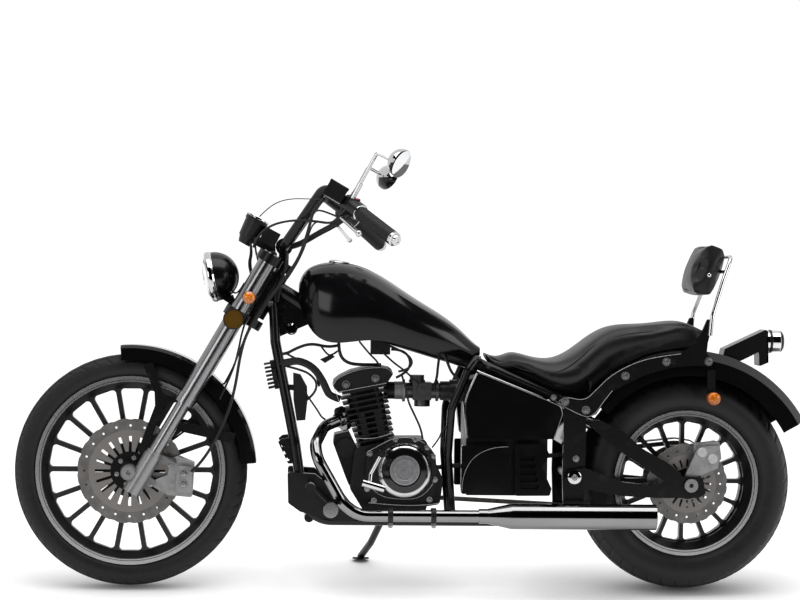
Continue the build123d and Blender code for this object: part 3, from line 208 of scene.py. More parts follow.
class Finish(Graph):
    """One procedural material, written as expressions on its sockets."""

    def __init__(self, name):
        self.material = bpy.data.materials.new(name)
        self.material.use_nodes = True
        super().__init__(self.material.node_tree)
        self.shader = self.tree.nodes.new("ShaderNodeBsdfPrincipled")
        self.output = self.tree.nodes.new("ShaderNodeOutputMaterial")
        self.tree.links.new(self.shader.outputs[0], self.output.inputs["Surface"])
        self.where = self.node("ShaderNodeTexCoord", {}, {}, "Object")

    def upright(self):
        """x, y, z in metres along the motorcycle's own upright axes, from the front wheel's contact."""
        turned = self.node("ShaderNodeMapping", {"vector_type": "TEXTURE"},
                           {"Vector": self.where, "Location": tuple(SHIFT), "Rotation": (-LEAN, 0.0, 0.0)})
        parts = self.tree.nodes.new("ShaderNodeSeparateXYZ")
        self.tree.links.new(turned.socket, parts.inputs[0])
        return [Value(self, socket) for socket in parts.outputs]

    def radius(self, axle):
        """Distance from an axle, in metres."""
        x, _, z = self.upright()
        dx, dz = x - axle[0] / 1000, z - axle[2] / 1000
        return (dx * dx + dz * dz).root()

    def noise(self, scale, detail=3.0, roughness=0.5, stretch=None):
        """Cloudy noise from 0 to 1, stretched along the axes where that is given."""
        place = self.where
        if stretch:
            drawn = {"Vector": self.where, "Scale": stretch}
            place = self.node("ShaderNodeMapping", {"vector_type": "POINT"}, drawn)
        return self.node("ShaderNodeTexNoise", {"noise_dimensions": "3D"},
                         {"Vector": place, "Scale": scale, "Detail": detail, "Roughness": roughness})

    def grain(self, scale):
        """Sandy noise of a casting or a rough coat."""
        return self.noise(scale, 3.0, 0.6)

    def patches(self, scale, low, high, stretch=None):
        """Broad patches of haze, dust or stain, 0 below low and 1 above high."""
        return self.noise(scale, 4.0, 0.6, stretch).ramp(low, high)

    def cells(self, scale):
        """Distance to the nearest of scattered points."""
        place = {"Vector": self.where, "Scale": scale}
        return self.node("ShaderNodeTexVoronoi", {"feature": "F1"}, place, "Distance")

    def blend(self, factor, low, high):
        """Colour between low and high by factor."""
        made = self.tree.nodes.new("ShaderNodeMix")
        made.data_type = "RGBA"
        for index, value in ((0, factor), (6, low), (7, high)):
            self.feed(made.inputs[index], value)
        return Value(self, made.outputs[2])

    def bump(self, height, strength, distance):
        """Relief of a height, by a strength and over a distance in metres."""
        relief = {"Height": height, "Strength": strength, "Distance": distance}
        self.feed(self.shader.inputs["Normal"], self.node("ShaderNodeBump", {}, relief))

    def set(self, **values):
        """Sets or links the shader's sockets, named with underscores."""
        for key, value in values.items():
            self.feed(self.shader.inputs[key.replace("_", " ")], value)

    def painted(self, mask, tones, roughness, relief=None, **values):
        """The material, in its first tone where mask is 0 and its second where it is 1.

        relief is the bump's (height, strength, distance).
        """
        self.set(Base_Color=self.blend(mask, *tones), Roughness=roughness, **values)
        if relief:
            self.bump(*relief)
        return self.material


# ---------------------------------------------------------------- finishes
def grey(tone):
    """Colour of a neutral tone."""
    return (tone, tone, tone)


def shade(colour, by):
    """The colour made lighter or darker."""
    return tuple(part * by for part in colour)


INK = (0.0022, 0.0022, 0.0024)
COAL = (0.006, 0.006, 0.0065)
SATIN = (0.004, 0.004, 0.0043)
PLATE = (0.55, 0.55, 0.56)
GROUND_PITCH = 0.0011      # metres between the grinding marks of a brake disc
TURNED_PITCH = 0.0016      # metres between the tool marks of a turned edge


def gloss_black(colour=INK):
    """Polished paint with a faint haze."""
    f = Finish("gloss_black_paint")
    haze = f.patches(7.0, 0.45, 0.8)
    return f.painted(haze, (colour, shade(colour, 1.8)), haze * 0.04 + 0.12,
                     (f.noise(420.0, 1.0), 0.015, 0.0004), Specular_IOR_Level=0.28)


def satin_black():
    """Half-matt enamel, rubbed in places."""
    f = Finish("satin_black_frame")
    wear = f.noise(28.0, 5.0, 0.65).ramp(0.5, 0.8)
    return f.painted(wear, (SATIN, (0.009, 0.009, 0.0095)), wear * 0.12 + 0.25,
                     (f.noise(900.0, 2.0), 0.08, 0.0004), Specular_IOR_Level=0.28)


def cast_black():
    """Black cast engine with a little dust."""
    f = Finish("cast_black_engine")
    grain = f.grain(700.0)
    return f.painted(f.patches(30.0, 0.5, 0.85), (grey(0.005), (0.014, 0.0137, 0.0134)), grain * 0.2 + 0.34,
                     (grain, 0.25, 0.0006), Specular_IOR_Level=0.3)


def chrome():
    """Bright plating, smeared by the polishing cloth."""
    f = Finish("chrome_plate")
    smear = f.patches(16.0, 0.45, 0.8)
    return f.painted(smear, (PLATE, (0.46, 0.46, 0.47)), smear * 0.06 + 0.06, Metallic=1.0)


def fork_metal(name, castings):
    """Brushed silver tube; below the castings' top the metal is sand-cast."""
    f = Finish(name)
    x, _, z = f.upright()
    lines = f.noise(900.0, 2.0, 0.6, stretch=(0.15, 1.0, 0.1))
    up = (x - LEG_FOOT[0]) * math.sin(RAKE) + (z - LEG_FOOT[1]) * math.cos(RAKE)
    cast = 1 - up.ramp(castings - 0.002, castings + 0.001)
    grain = f.grain(520.0)
    tube = f.blend(lines.ramp(0.3, 0.7), (0.20, 0.20, 0.205), (0.27, 0.27, 0.275))
    dull = f.blend(grain.ramp(0.3, 0.7), grey(0.22), grey(0.30))
    return f.painted(cast, (tube, dull), cast * (grain * 0.1 + 0.28) + (1 - cast) * (lines * 0.1 + 0.16),
                     (lines * (1 - cast) * 0.3 + grain * cast, 0.14, 0.0004), Metallic=1.0 - cast * 0.25)


def cast_alloy():
    """Bare cast alloy with dark stains."""
    f = Finish("cast_alloy")
    grain = f.grain(500.0)
    return f.painted(f.patches(24.0, 0.4, 0.85), (grey(0.40), (0.20, 0.195, 0.19)), grain * 0.25 + 0.3,
                     (grain, 0.2, 0.0005), Metallic=0.9)


def disc_steel(name, axle, band_in, hub_out):
    """Brake disc: dark hub, brownish carrier and ground band."""
    f = Finish(name)
    r = f.radius(axle)
    rings = r.wave(GROUND_PITCH) * 0.5 + 0.5
    carrier = 1 - r.ramp(band_in - 0.001, band_in + 0.0005)
    hub = 1 - r.ramp(hub_out - 0.001, hub_out + 0.001)
    ground = f.blend(f.noise(40.0).ramp(0.3, 0.8), (0.155, 0.15, 0.147), (0.235, 0.225, 0.217))
    return f.painted(hub, (f.blend(carrier, ground, (0.26, 0.245, 0.235)), grey(0.010)), rings * 0.08 + 0.34,
                     (rings, 0.12, 0.0002), Metallic=0.85)


def rim_black(name, axle, lip_in):
    """Black cast wheel with a machined lip."""
    f = Finish(name)
    r = f.radius(axle)
    lip = r.ramp(lip_in - 0.0006, lip_in + 0.0006)
    turned = r.wave(TURNED_PITCH) * 0.5 + 0.5
    grain = f.noise(600.0, 2.0)
    paint = f.blend(f.noise(30.0).ramp(0.4, 0.8), COAL, (0.013, 0.013, 0.014))
    bright = f.blend(r.band(lip_in + 0.0052, lip_in + 0.0068, 0.0004), grey(0.44), grey(0.06))
    return f.painted(lip, (paint, bright), grain * 0.1 + (1 - lip) * 0.08 + 0.2,
                     (turned * lip + grain * (1 - lip), 0.06, 0.0004), Metallic=lip * 0.95)


def tyre_rubber(name, axle, rim_r, tyre_r):
    """Moulded sidewall rings and a dull tread."""
    f = Finish(name)
    r = f.radius(axle)
    dust = f.noise(60.0, 5.0, 0.65)
    tread = r.ramp(tyre_r - 0.022, tyre_r - 0.014)
    rings = r.band(rim_r + 0.004, rim_r + 0.007, 0.0008) + r.band(tyre_r - 0.027, tyre_r - 0.025, 0.0006)
    wall = f.blend(dust.ramp(0.35, 0.75), (0.005, 0.005, 0.0052), (0.010, 0.0098, 0.0095))
    return f.painted(tread, (wall, (0.011, 0.0107, 0.0104)), dust * 0.25 + 0.4 + tread * 0.12,
                     (rings * 1.5 + f.noise(500.0) * 0.3, 0.5, 0.001), Specular_IOR_Level=0.32)


def vinyl():
    """Matt leathercloth with a fine grain."""
    f = Finish("seat_vinyl")
    broad = f.patches(9.0, 0.35, 0.75)
    creases = f.noise(60.0, 5.0, 0.6).ramp(0.55, 0.75)
    relief = f.cells(620.0).ramp(0.0, 0.6) * 0.5 + f.noise(90.0) * 0.4 + creases * 0.4
    return f.painted(broad, ((0.005, 0.005, 0.0049), (0.009, 0.0088, 0.0086)), broad * 0.08 + 0.36,
                     (relief, 0.16, 0.0006), Specular_IOR_Level=0.3)


def rubber():
    """Moulded black rubber."""
    f = Finish("moulded_rubber")
    grain = f.noise(400.0)
    return f.painted(grain.ramp(0.3, 0.8), (grey(0.008), (0.0144, 0.014, 0.0136)), grain * 0.2 + 0.42,
                     (grain, 0.15, 0.0006), Specular_IOR_Level=0.3)


def plastic_black():
    """Textured black plastic."""
    f = Finish("textured_black_plastic")
    grain = f.cells(900.0)
    return f.painted(f.noise(20.0).ramp(0.4, 0.8), (COAL, (0.012, 0.012, 0.013)), grain * 0.2 + 0.3,
                     (grain, 0.12, 0.0004), Specular_IOR_Level=0.3)


def coated(name, dark, light, split, gloss=0.16):
    """Black and bright coats on one node, parted by a mask of the upright x, y and z."""
    f = Finish(name)
    bright = split(*f.upright())
    grain = f.grain(500.0)
    mottle = grain.ramp(0.3, 0.7)
    black = f.blend(mottle, dark, shade(dark, 1.5))
    return f.painted(bright, (black, f.blend(mottle, light, shade(light, 0.86))),
                     (1 - bright) * (grain * 0.12 + gloss) + bright * 0.1,
                     (grain * (1 - bright), 0.1, 0.0004), Metallic=bright, Specular_IOR_Level=0.3)


def lamp_bezel(x, _, z):
    """Bright over the headlamp's rim: everything ahead of a plane a little behind the lamp's face."""
    bezel_back = -0.0165
    ahead = (LAMP_FACE[0] / 1000 - x) * math.cos(LAMP_TILT) + (LAMP_FACE[2] / 1000 - z) * math.sin(LAMP_TILT)
    return ahead.above(bezel_back)


def mirror_painted_reflection(x, _, z):
    """Chrome on the mirrors' stalks and on the upper half of their heads, black on the heads' lower half:
    this split of one shell at its middle height is a painted reflection, bright above and dark below.
    """
    head_middle, stalk_end = 1.246, 0.742
    return z.above(head_middle).largest(x.below(stalk_end))


def lever_blade(x, y, z):
    """Bright on the levers, outboard of the perches and ahead of the grips."""
    perch_end, sweep, grip_front, blade_top = 0.332, 0.4, 0.492, 1.102
    out = y.size()
    return out.above(perch_end) * (x - out * sweep).below(grip_front) * z.below(blade_top)


def lamp_barrel(x, y):
    """Bright on the tail lamp's barrel, between its dark bands."""
    half_width, barrel_start, barrel_end = 0.06, 1.9035, 1.949
    dark_band = x.band(1.916, 1.9235, 0.0003)
    inside = y.size().below(half_width) * x.above(barrel_start)
    return inside * (1 - dark_band) * x.below(barrel_end)


def peg_end(x, y, _):
    """Bright on the foot lever and the pegs' ends."""
    lever_start, lever_in, tip_in = 0.676, 0.187, 0.2785
    out = y.size()
    return (x.above(lever_start) * out.above(lever_in) + out.above(tip_in)).least(1.0)


def indicator_coat():
    """Amber lamp, brown reflector disc and black stalk of the front indicators."""
    f = Finish("indicator_and_reflector")
    x, y, z = f.upright()
    disc_top, stalk_end, plate_edge = 0.835, 0.1335, 0.0275
    disc_x, disc_z = 0.3025, 0.799
    disc = z.below(disc_top)
    stalk = (1 - disc) * y.size().below(stalk_end)
    ribs = f.cells(150.0).ramp(0.0, 0.8)
    facets = f.cells(330.0).ramp(0.1, 0.7)
    across, up = x - disc_x, z - disc_z
    rim = (across * across + up * up).root().above(plate_edge)
    lamp = f.blend(ribs, (0.95, 0.30, 0.02), (0.52, 0.12, 0.006))
    plate = f.blend(rim, f.blend(facets, (0.075, 0.036, 0.003), (0.115, 0.058, 0.006)), (0.01, 0.008, 0.006))
    return f.painted(stalk, (f.blend(disc, lamp, plate), grey(0.006)), stalk * 0.25 + 0.1 + disc * 0.1,
                     (ribs * (1 - stalk), 0.25, 0.0007), Coat_Weight=(1 - stalk) * 0.6)


def rear_lamp_coat():
    """Black arm and tabs, chrome barrel with dark bands, amber bullets."""
    f = Finish("tail_lamp_and_indicators")
    x, y, z = f.upright()
    bullet_top, bullet_in, bullet_front = 0.610, 0.150, 1.69
    bright = lamp_barrel(x, y)
    bullet = z.below(bullet_top) * y.size().above(bullet_in) * x.above(bullet_front)
    black = f.blend(f.grain(500.0).ramp(0.3, 0.7), SATIN, (0.008, 0.008, 0.0085))
    amber = f.blend(f.cells(160.0).ramp(0.0, 0.8), (0.85, 0.26, 0.015), (0.45, 0.10, 0.005))
    return f.painted(bullet, (f.blend(bright, black, (0.66, 0.66, 0.67)), amber),
                     (1 - bright) * (1 - bullet) * 0.16 + 0.09,
                     Metallic=bright, Coat_Weight=bullet * 0.6, Specular_IOR_Level=0.28)


def clutch_coat():
    """Brushed grey centre, black ring and chromed edge."""
    f = Finish("clutch_cover_rings")
    r = f.radius(CLUTCH_CENTRE)
    face_edge, chrome_start = 0.0445, 0.0675
    face = r.below(face_edge)
    edge = r.above(chrome_start)
    brushed = f.noise(90.0, 4.0, 0.7)
    groove = r.band(0.0290, 0.0305, 0.0004) + r.band(0.0415, 0.0425, 0.0003)
    centre = f.blend(brushed.ramp(0.3, 0.7), (0.19, 0.187, 0.195), (0.28, 0.275, 0.285))
    inner = f.blend(face, (0.004, 0.004, 0.0042), f.blend(groove, centre, (0.42, 0.42, 0.43)))
    return f.painted(edge, (inner, PLATE), face * (brushed * 0.15 + 0.22) + 0.14,
                     (brushed * face + r.wave(TURNED_PITCH) * edge * 0.2, 0.15, 0.0004),
                     Metallic=(face * 0.7 + edge).least(1.0))


def carburettor_coat():
    """Dark cast body, pale inlet boot and black rubber clamp hose."""
    f = Finish("carburettor_cast")
    x, _, _ = f.upright()
    boot_end, hose_start = 0.8125, 0.9145
    boot = x.below(boot_end)
    hose = x.above(hose_start)
    grain = f.grain(500.0)
    metal = f.blend(f.patches(30.0, 0.4, 0.8), grey(0.10), (0.045, 0.044, 0.043))
    return f.painted(hose, (f.blend(boot, metal, grey(0.27)), grey(0.008)), grain * 0.2 + 0.3,
                     (grain, 0.2, 0.0005), Metallic=(1 - hose) * (1 - boot) * 0.8)


def clear_glass():
    """Headlamp glass with faint upright flutes."""
    f = Finish("clear_lens")
    flutes = f.upright()[1].wave(0.012) * 0.5 + 0.5
    f.set(Base_Color=(0.95, 0.97, 0.98), Roughness=0.02, IOR=1.46, Transmission_Weight=1.0)
    f.bump(flutes, 0.12, 0.0006)
    return f.material


def red_lens():
    """Ribbed red plastic."""
    f = Finish("red_lens")
    ribs = f.upright()[2].wave(0.0035) * 0.5 + 0.5
    red = (0.35, 0.006, 0.004)
    return f.painted(ribs, (red, shade(red, 0.7)), 0.12, (ribs, 0.2, 0.0005),
                     IOR=1.5, Transmission_Weight=0.3, Coat_Weight=0.5)


def steel():
    """Zinc-plated steel."""
    f = Finish("zinc_steel")
    grain = f.noise(300.0)
    return f.painted(grain.ramp(0.3, 0.8), (grey(0.50), grey(0.36)), grain * 0.15 + 0.2,
                     (grain, 0.08, 0.0004), Metallic=1.0)


def painted_highlight_and_pale_metal():
    """Half-dull pale metal, which stays pale whatever it mirrors; as thin lines along the edges of struts,
    covers and engine it is a painted highlight, and on the caliper's piston covers it is their own pale
    metal.
    """
    f = Finish("painted_highlight_and_pale_metal_finish")
    grain = f.noise(260.0)
    return f.painted(grain.ramp(0.3, 0.8), (grey(0.62), grey(0.42)), grain * 0.15 + 0.35, Metallic=0.25)


def chain_steel():
    """Oiled links."""
    f = Finish("oiled_chain_steel")
    oil = f.noise(120.0, 4.0, 0.6)
    return f.painted(oil.ramp(0.35, 0.75), ((0.16, 0.15, 0.14), (0.05, 0.048, 0.045)), oil * 0.2 + 0.3,
                     (oil, 0.1, 0.0004), Metallic=0.9)


def muffler_chrome():
    """Heat-dulled plating of the exhaust."""
    f = Finish("muffler_chrome")
    smear = f.patches(10.0, 0.4, 0.8, stretch=(0.3, 1.0, 1.0))
    return f.painted(smear, (grey(0.25), (0.20, 0.197, 0.195)), smear * 0.05 + 0.08, Metallic=1.0)


def mirror_glass():
    """Silvered glass."""
    f = Finish("mirror_glass")
    haze = f.noise(12.0).ramp(0.5, 0.8)
    return f.painted(haze, ((0.80, 0.81, 0.82), (0.72, 0.73, 0.74)), haze * 0.03 + 0.01, Metallic=1.0)


def dial_face():
    """Dark dial with pale graduations round its centre."""
    f = Finish("speedometer_dial")
    x, y, z = f.upright()
    u = (x - DIAL_CENTRE[0] / 1000) * DIAL_OUT[1] + (z - DIAL_CENTRE[1] / 1000) * -DIAL_OUT[0]
    r = (u * u + y * y).root()
    turn = u.math("ARCTAN2", y)
    small_marks, large_marks = 48, 12
    ticks = turn.wave(2 * math.pi / small_marks).above(0.72) * r.band(0.024, 0.029, 0.0003)
    long_ticks = turn.wave(2 * math.pi / large_marks).above(0.93) * r.band(0.021, 0.029, 0.0003)
    return f.painted((ticks + long_ticks).least(1.0), ((0.008, 0.008, 0.009), (0.75, 0.75, 0.72)),
                     f.noise(300.0) * 0.1 + 0.35)


def signal_red():
    """Red plastic of the kill switch."""
    f = Finish("red_switch")
    grain = f.noise(300.0)
    return f.painted(grain, ((0.28, 0.01, 0.012), (0.20, 0.008, 0.01)), grain * 0.1 + 0.3)


def reflector_bowl():
    """Silvered bowl behind the headlamp's bulb."""
    f = Finish("lamp_reflector")
    haze = f.noise(30.0).ramp(0.4, 0.8)
    return f.painted(haze, (grey(0.78), grey(0.66)), haze * 0.08 + 0.12, Metallic=1.0)


MAKERS = {
    "gloss": gloss_black, "satin": satin_black, "cast_black": cast_black, "chrome": chrome,
    "alloy": cast_alloy, "vinyl": vinyl, "rubber": rubber, "plastic": plastic_black, "glass": clear_glass,
    "red": red_lens, "steel": steel, "painted_highlight_and_pale_metal": painted_highlight_and_pale_metal, "chain": chain_steel,
    "muffler": muffler_chrome, "mirror_glass": mirror_glass, "reflector_bowl": reflector_bowl,
    "dial": dial_face, "switch_red": signal_red, "front_indicators": indicator_coat,
    "rear_lamps": rear_lamp_coat, "clutch_cover": clutch_coat, "carburettor": carburettor_coat,
    "fork_lowers": lambda: fork_metal("fork_castings_and_tubes", 0.092),
    "fork_uppers": lambda: fork_metal("silver_fork_tubes", -1.0),
    "headlamp_shell": lambda: coated("headlamp_bowl_and_bezel", INK, (0.66, 0.66, 0.67), lamp_bezel),
    "hand_controls": lambda: coated("switch_housings_and_levers", COAL, (0.60, 0.60, 0.61), lever_blade, 0.3),
    # the mirror heads' chrome upper half and black lower half are a painted reflection
    "mirrors": lambda: coated("mirror_shells_painted_reflection", INK, PLATE, mirror_painted_reflection),
    "footrests": lambda: coated("footrests_and_lever", COAL, (0.60, 0.60, 0.61), peg_end, 0.3),
    "front_disc": lambda: disc_steel("front_disc_steel", FRONT_AXLE, 0.122, 0.058),
    "rear_disc": lambda: disc_steel("rear_disc_steel", REAR_AXLE, 0.087, 0.046),
    "front_rim": lambda: rim_black("front_wheel_black", FRONT_AXLE, 0.2625),
    "rear_rim": lambda: rim_black("rear_wheel_black", REAR_AXLE, 0.2005),
    "front_tyre": lambda: tyre_rubber("front_tyre_rubber", FRONT_AXLE, 0.280, 0.345),
    "rear_tyre": lambda: tyre_rubber("rear_tyre_rubber", REAR_AXLE, 0.217, 0.323),
}
PALETTE = {}


def finish_named(name):
    """Each finish, made once."""
    if name not in PALETTE:
        PALETTE[name] = MAKERS[name]()
    return PALETTE[name]


def coat(mesh, finish):
    """Gives a mesh one finish."""
    mesh.materials.clear()
    mesh.materials.append(finish_named(finish))


# ---------------------------------------------------------------- shapes
def plain_object(name, mesh):
    """Links a mesh into the scene."""
    made = bpy.data.objects.new(name, mesh)
    bpy.context.scene.collection.objects.link(made)
    return made


def new_piece(name, mesh, finish, body, smooth=True):
    """Wraps a mesh as a piece that rides on a body; one with no body is left unattached."""
    piece = plain_object(name, mesh)
    coat(mesh, finish)
    if smooth:
        mesh.shade_smooth()
        mesh.set_sharp_from_angle(angle=math.radians(38))
    if body:
        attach(piece, body)
    return piece


def evaluated_mesh(piece):
    """The piece's mesh with its modifiers worked in."""
    bpy.context.view_layer.update()
    return bpy.data.meshes.new_from_object(piece.evaluated_get(bpy.context.evaluated_depsgraph_get()))


def tubes_mesh(name, routes, sides, cyclic):
    """Round tubes on smooth splines; routes are (radius, control points), all in upright millimetres."""
    curve = bpy.data.curves.new(name, "CURVE")
    curve.dimensions = "3D"
    for radius, points in routes:
        spline = curve.splines.new("NURBS")
        spline.points.add(len(points) - 1)
        for target, point in zip(spline.points, points):
            target.co, target.radius = (*at(*point), 1.0), radius
        spline.order_u, spline.use_endpoint_u, spline.use_cyclic_u = 3, not cyclic, cyclic
        spline.resolution_u = 6
    curve.bevel_depth, curve.bevel_resolution, curve.use_fill_caps = 0.001, max(0, sides // 4 - 1), True
    holder = plain_object(name, curve)
    mesh = evaluated_mesh(holder)
    bpy.data.objects.remove(holder)
    bpy.data.curves.remove(curve)
    return mesh


def tube_piece(name, routes, finish, body, sides=8, cyclic=False):
    """One piece of several round tubes."""
    return new_piece(name, tubes_mesh(name, routes, sides, cyclic), finish, body)


def facing(point, direction):
    """Matrix whose z runs along an upright direction from an upright point."""
    turn = toward(*direction).to_track_quat("Z", "Y").to_matrix().to_4x4()
    return Matrix.Translation(at(*point)) @ turn


def circle(count):
    """Angles of a count of points round a circle."""
    return [2 * math.pi * i / count for i in range(count)]


def bridge(bm, loops):
    """Adds the faces between successive loops of points; a loop of one point closes them to a tip."""
    for low, high in zip(loops, loops[1:]):
        count = max(len(low), len(high))
        for i in range(count):
            j = (i + 1) % count
            corners = [low[i % len(low)], low[j % len(low)], high[j % len(high)], high[i % len(high)]]
            bm.faces.new(list(dict.fromkeys(corners)))


def add_turned(bm, place, profile, segments):
    """Adds a body turned round a placed z axis; profile is (radius, height) in millimetres."""
    rings = []
    for radius, height in profile:
        reach, rise = radius / 1000, height / 1000
        turns = circle(segments if radius > 0 else 1)
        ring = [(reach * math.cos(a), reach * math.sin(a), rise) for a in turns]
        rings.append([bm.verts.new(place @ Vector(point)) for point in ring])
    bridge(bm, rings)


def mesh_from(bm, name):
    """Finishes a bmesh as a mesh with outward faces."""
    bmesh.ops.recalc_face_normals(bm, faces=bm.faces)
    mesh = bpy.data.meshes.new(name)
    bm.to_mesh(mesh)
    bm.free()
    return mesh


def turned_piece(name, spots, finish, body, segments=32):
    """One piece of several turned bodies; spots are (point, direction, profile)."""
    bm = bmesh.new()
    for point, direction, profile in spots:
        add_turned(bm, facing(point, direction), profile, segments)
    return new_piece(name, mesh_from(bm, name), finish, body)


def add_plate(bm, outline, y, thickness, bevel):
    """Adds a flat piece with softened edges, cut to an (x, z) outline at y and grown outward from there."""
    side = 1 if y > 0 else -1
    middle_x = sum(x for x, _ in outline) / len(outline)
    middle_z = sum(z for _, z in outline) / len(outline)
    loops = []
    for inset, out in ((0.0, 0.0), (0.0, thickness - bevel), (bevel, thickness)):
        loop = []
        for x, z in outline:
            share = inset / math.hypot(middle_x - x, middle_z - z)
            inner = at(x + (middle_x - x) * share, y + side * out, z + (middle_z - z) * share)
            loop.append(bm.verts.new(inner))
        loops.append(loop)
    bridge(bm, loops)
    bm.faces.new(loops[0])
    bm.faces.new(loops[-1])


def plate_piece(name, plates, finish):
    """One sharp-edged piece of flat plates on the chassis; plates are (outline, y, thickness, bevel)."""
    bm = bmesh.new()
    for plate in plates:
        add_plate(bm, *plate)
    new_piece(name, mesh_from(bm, name), finish, "chassis", smooth=False)


NEAR = (0, -1, 0)
BOLT = [(0.0, 0.0), (1.5, 0.0), (1.5, 0.22), (1.0, 0.22), (1.0, 0.75), (0.8, 1.0), (0.42, 1.02), (0.38, 0.7),
        (0.0, 0.7)]   # washer, head and socket, in head radii


def bolts(name, body, table, finish="steel"):
    """Domed cap screws on washers, from a table of (point, direction, radius)."""
    spots = []
    for point, direction, radius in table:
        spots.append((point, direction, [(reach * radius, height * radius) for reach, height in BOLT]))
    return turned_piece(name, spots, finish, body, 14)


def near_row(places, y, radius):
    """Table of equal bolts that face the exhaust side, at (x, z) places."""
    return [((x, y, z), NEAR, radius) for x, z in places]


def bolt_circle(axle, reach, y, radius=4.6, count=6, first=14):
    """Table of equal bolts round an axle, the first of them at an angle in degrees."""
    turns = [math.radians(i * 360 / count + first) for i in range(count)]
    places = [(axle[0] + reach * math.cos(a), axle[2] + reach * math.sin(a)) for a in turns]
    return near_row(places, y, radius)


def both_sides(table):
    """Each (point, direction, radius) and its twin on the other side."""
    twins = [((x, -y, z), (dx, -dy, dz), radius) for (x, y, z), (dx, dy, dz), radius in table]
    return table + twins


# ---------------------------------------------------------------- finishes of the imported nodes
SHARED_FINISHES = {   # a finish and its nodes, where the finish isn't named for its one node
    "satin": ("fork_yokes", "fender_stays", "handlebar", "frame", "swingarm", "fender_struts", "side_stand"),
    "gloss": ("front_fender", "fuel_tank", "rear_fender", "side_covers"),
    "cast_black": ("engine_case", "engine_cylinder"),
    "steel": ("rear_sprocket", "front_axle", "rear_axle"),
    "alloy": ("front_caliper", "rear_caliper"),
    "plastic": ("gauges", "electrical_boxes"),
    "vinyl": ("seat", "back_pad"),
    "front_disc": ("front_brake_disc",),
    "rear_disc": ("rear_brake_disc",),
    "muffler": ("exhaust_pipe",),
    "chrome": ("sissy_bar",),
    "chain": ("drive_chain",),
    "glass": ("headlamp_lens",),
    "rubber": ("grips",),
}
NODE_FINISH = {node: finish for finish, nodes in SHARED_FINISHES.items() for node in nodes}


class CruiserFinishes(bpy.types.PropertyGroup):
    """Choices for the finishes."""

    paint: bpy.props.FloatVectorProperty(name="Paint", description="Colour of the tank, fenders and covers",
                                         default=(0.0035, 0.0035, 0.004), subtype="COLOR", min=0, max=1)
    crease: bpy.props.FloatProperty(name="Crease", description="Angle above which an edge stays sharp",
                                    default=math.radians(32), subtype="ANGLE")


class CRUISER_OT_finishes(bpy.types.Operator):
    """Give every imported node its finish"""

    bl_idname = "cruiser.finishes"
    bl_label = "Finishes"

    def execute(self, context):
        choices = context.scene.cruiser_finishes
        PALETTE["gloss"] = gloss_black(tuple(choices.paint))
        for node, packed in NODES.items():
            coat(packed.data, NODE_FINISH.get(node, node))
            packed.data.shade_smooth()
            packed.data.set_sharp_from_angle(angle=choices.crease)
        return {"FINISHED"}


# ---------------------------------------------------------------- tyres
class CruiserTyres(bpy.types.PropertyGroup):
    """Tread of the two tyres."""

    groove: bpy.props.FloatProperty(name="Groove", description="Depth of the tread's grooves", default=0.0042,
                                    unit="LENGTH", min=0, max=0.008)
    steps: bpy.props.IntProperty(name="Steps", description="Facets round each tyre", default=720, min=180,
                                 max=1440)


def three_point_arc(a, b, c, count):
    """Points of the circular arc through three (radius, y) points."""
    (ax, ay), (bx, by), (cx, cy) = a, b, c
    squares = [x * x + y * y for x, y in (a, b, c)]
    d = 2 * (ax * (by - cy) + bx * (cy - ay) + cx * (ay - by))
    ux = (squares[0] * (by - cy) + squares[1] * (cy - ay) + squares[2] * (ay - by)) / d
    uy = (squares[0] * (cx - bx) + squares[1] * (ax - cx) + squares[2] * (bx - ax)) / d
    angles = np.unwrap([math.atan2(y - uy, x - ux) for x, y in (a, b, c)])
    reach = math.hypot(ax - ux, ay - uy)
    turns = np.linspace(angles[0], angles[2], count)
    return [(ux + reach * math.cos(turn), uy + reach * math.sin(turn)) for turn in turns]


TYRES = {   # axle, radius, half width, crown radius, rim radius, rim half width, rows of tread
    "front_tyre": (FRONT_AXLE, 345.0, 48.0, 56.0, 280.0, 40.0, 54),
    "rear_tyre": (REAR_AXLE, 323.0, 100.0, 150.0, 217.0, 80.0, 44),
}
BEAD_INSET, BEAD_DEPTH = 4.3, 12.0        # how far the tyre's foot lies inside the rim's edge and under it
EDGE_SHARE, BELLY_SHARE = 0.86, 0.42      # the tread's edge over the half width, the belly up the wall
WALL_POINTS, TREAD_POINTS = 16, 44
WALL_RINGS = (4, 5)       # the section's points that stand proud as a moulded ring, counted from each bead
WALL_RING_RISE = 0.9


def groove_depth(distance, width, crest):
    """1 along a groove's middle line and 0 beside it; a higher crest makes its floor flatter."""
    return np.clip(crest - distance / width, 0, 1)


def tread_depth(turn, across, rows, width):
    """0 to 1 groove depth at a turn (radians) and a place across the tread (-1 to 1)."""
    slant, half_pitch = 0.9, 0.5
    side = np.abs(across)
    phase = turn * rows / (2 * math.pi) + slant * side + np.where(across > 0, half_pitch, 0.0)
    ridge = np.abs(((phase + 0.5) % 1.0) - 0.5)
    shoulders = np.clip((side - 0.2) / 0.06, 0, 1) * np.clip((1.02 - side) / 0.05, 0, 1)
    diagonal = groove_depth(ridge, 0.085, 1.3) * shoulders
    weave = 0.1 + 0.035 * np.sin(turn * rows)
    lines = groove_depth(np.abs(side - weave), 2.4 / width, 1.4)
    rings = groove_depth(np.abs(side - 0.55), 1.8 / width, 1.4)
    return np.maximum(np.maximum(diagonal, lines), rings)


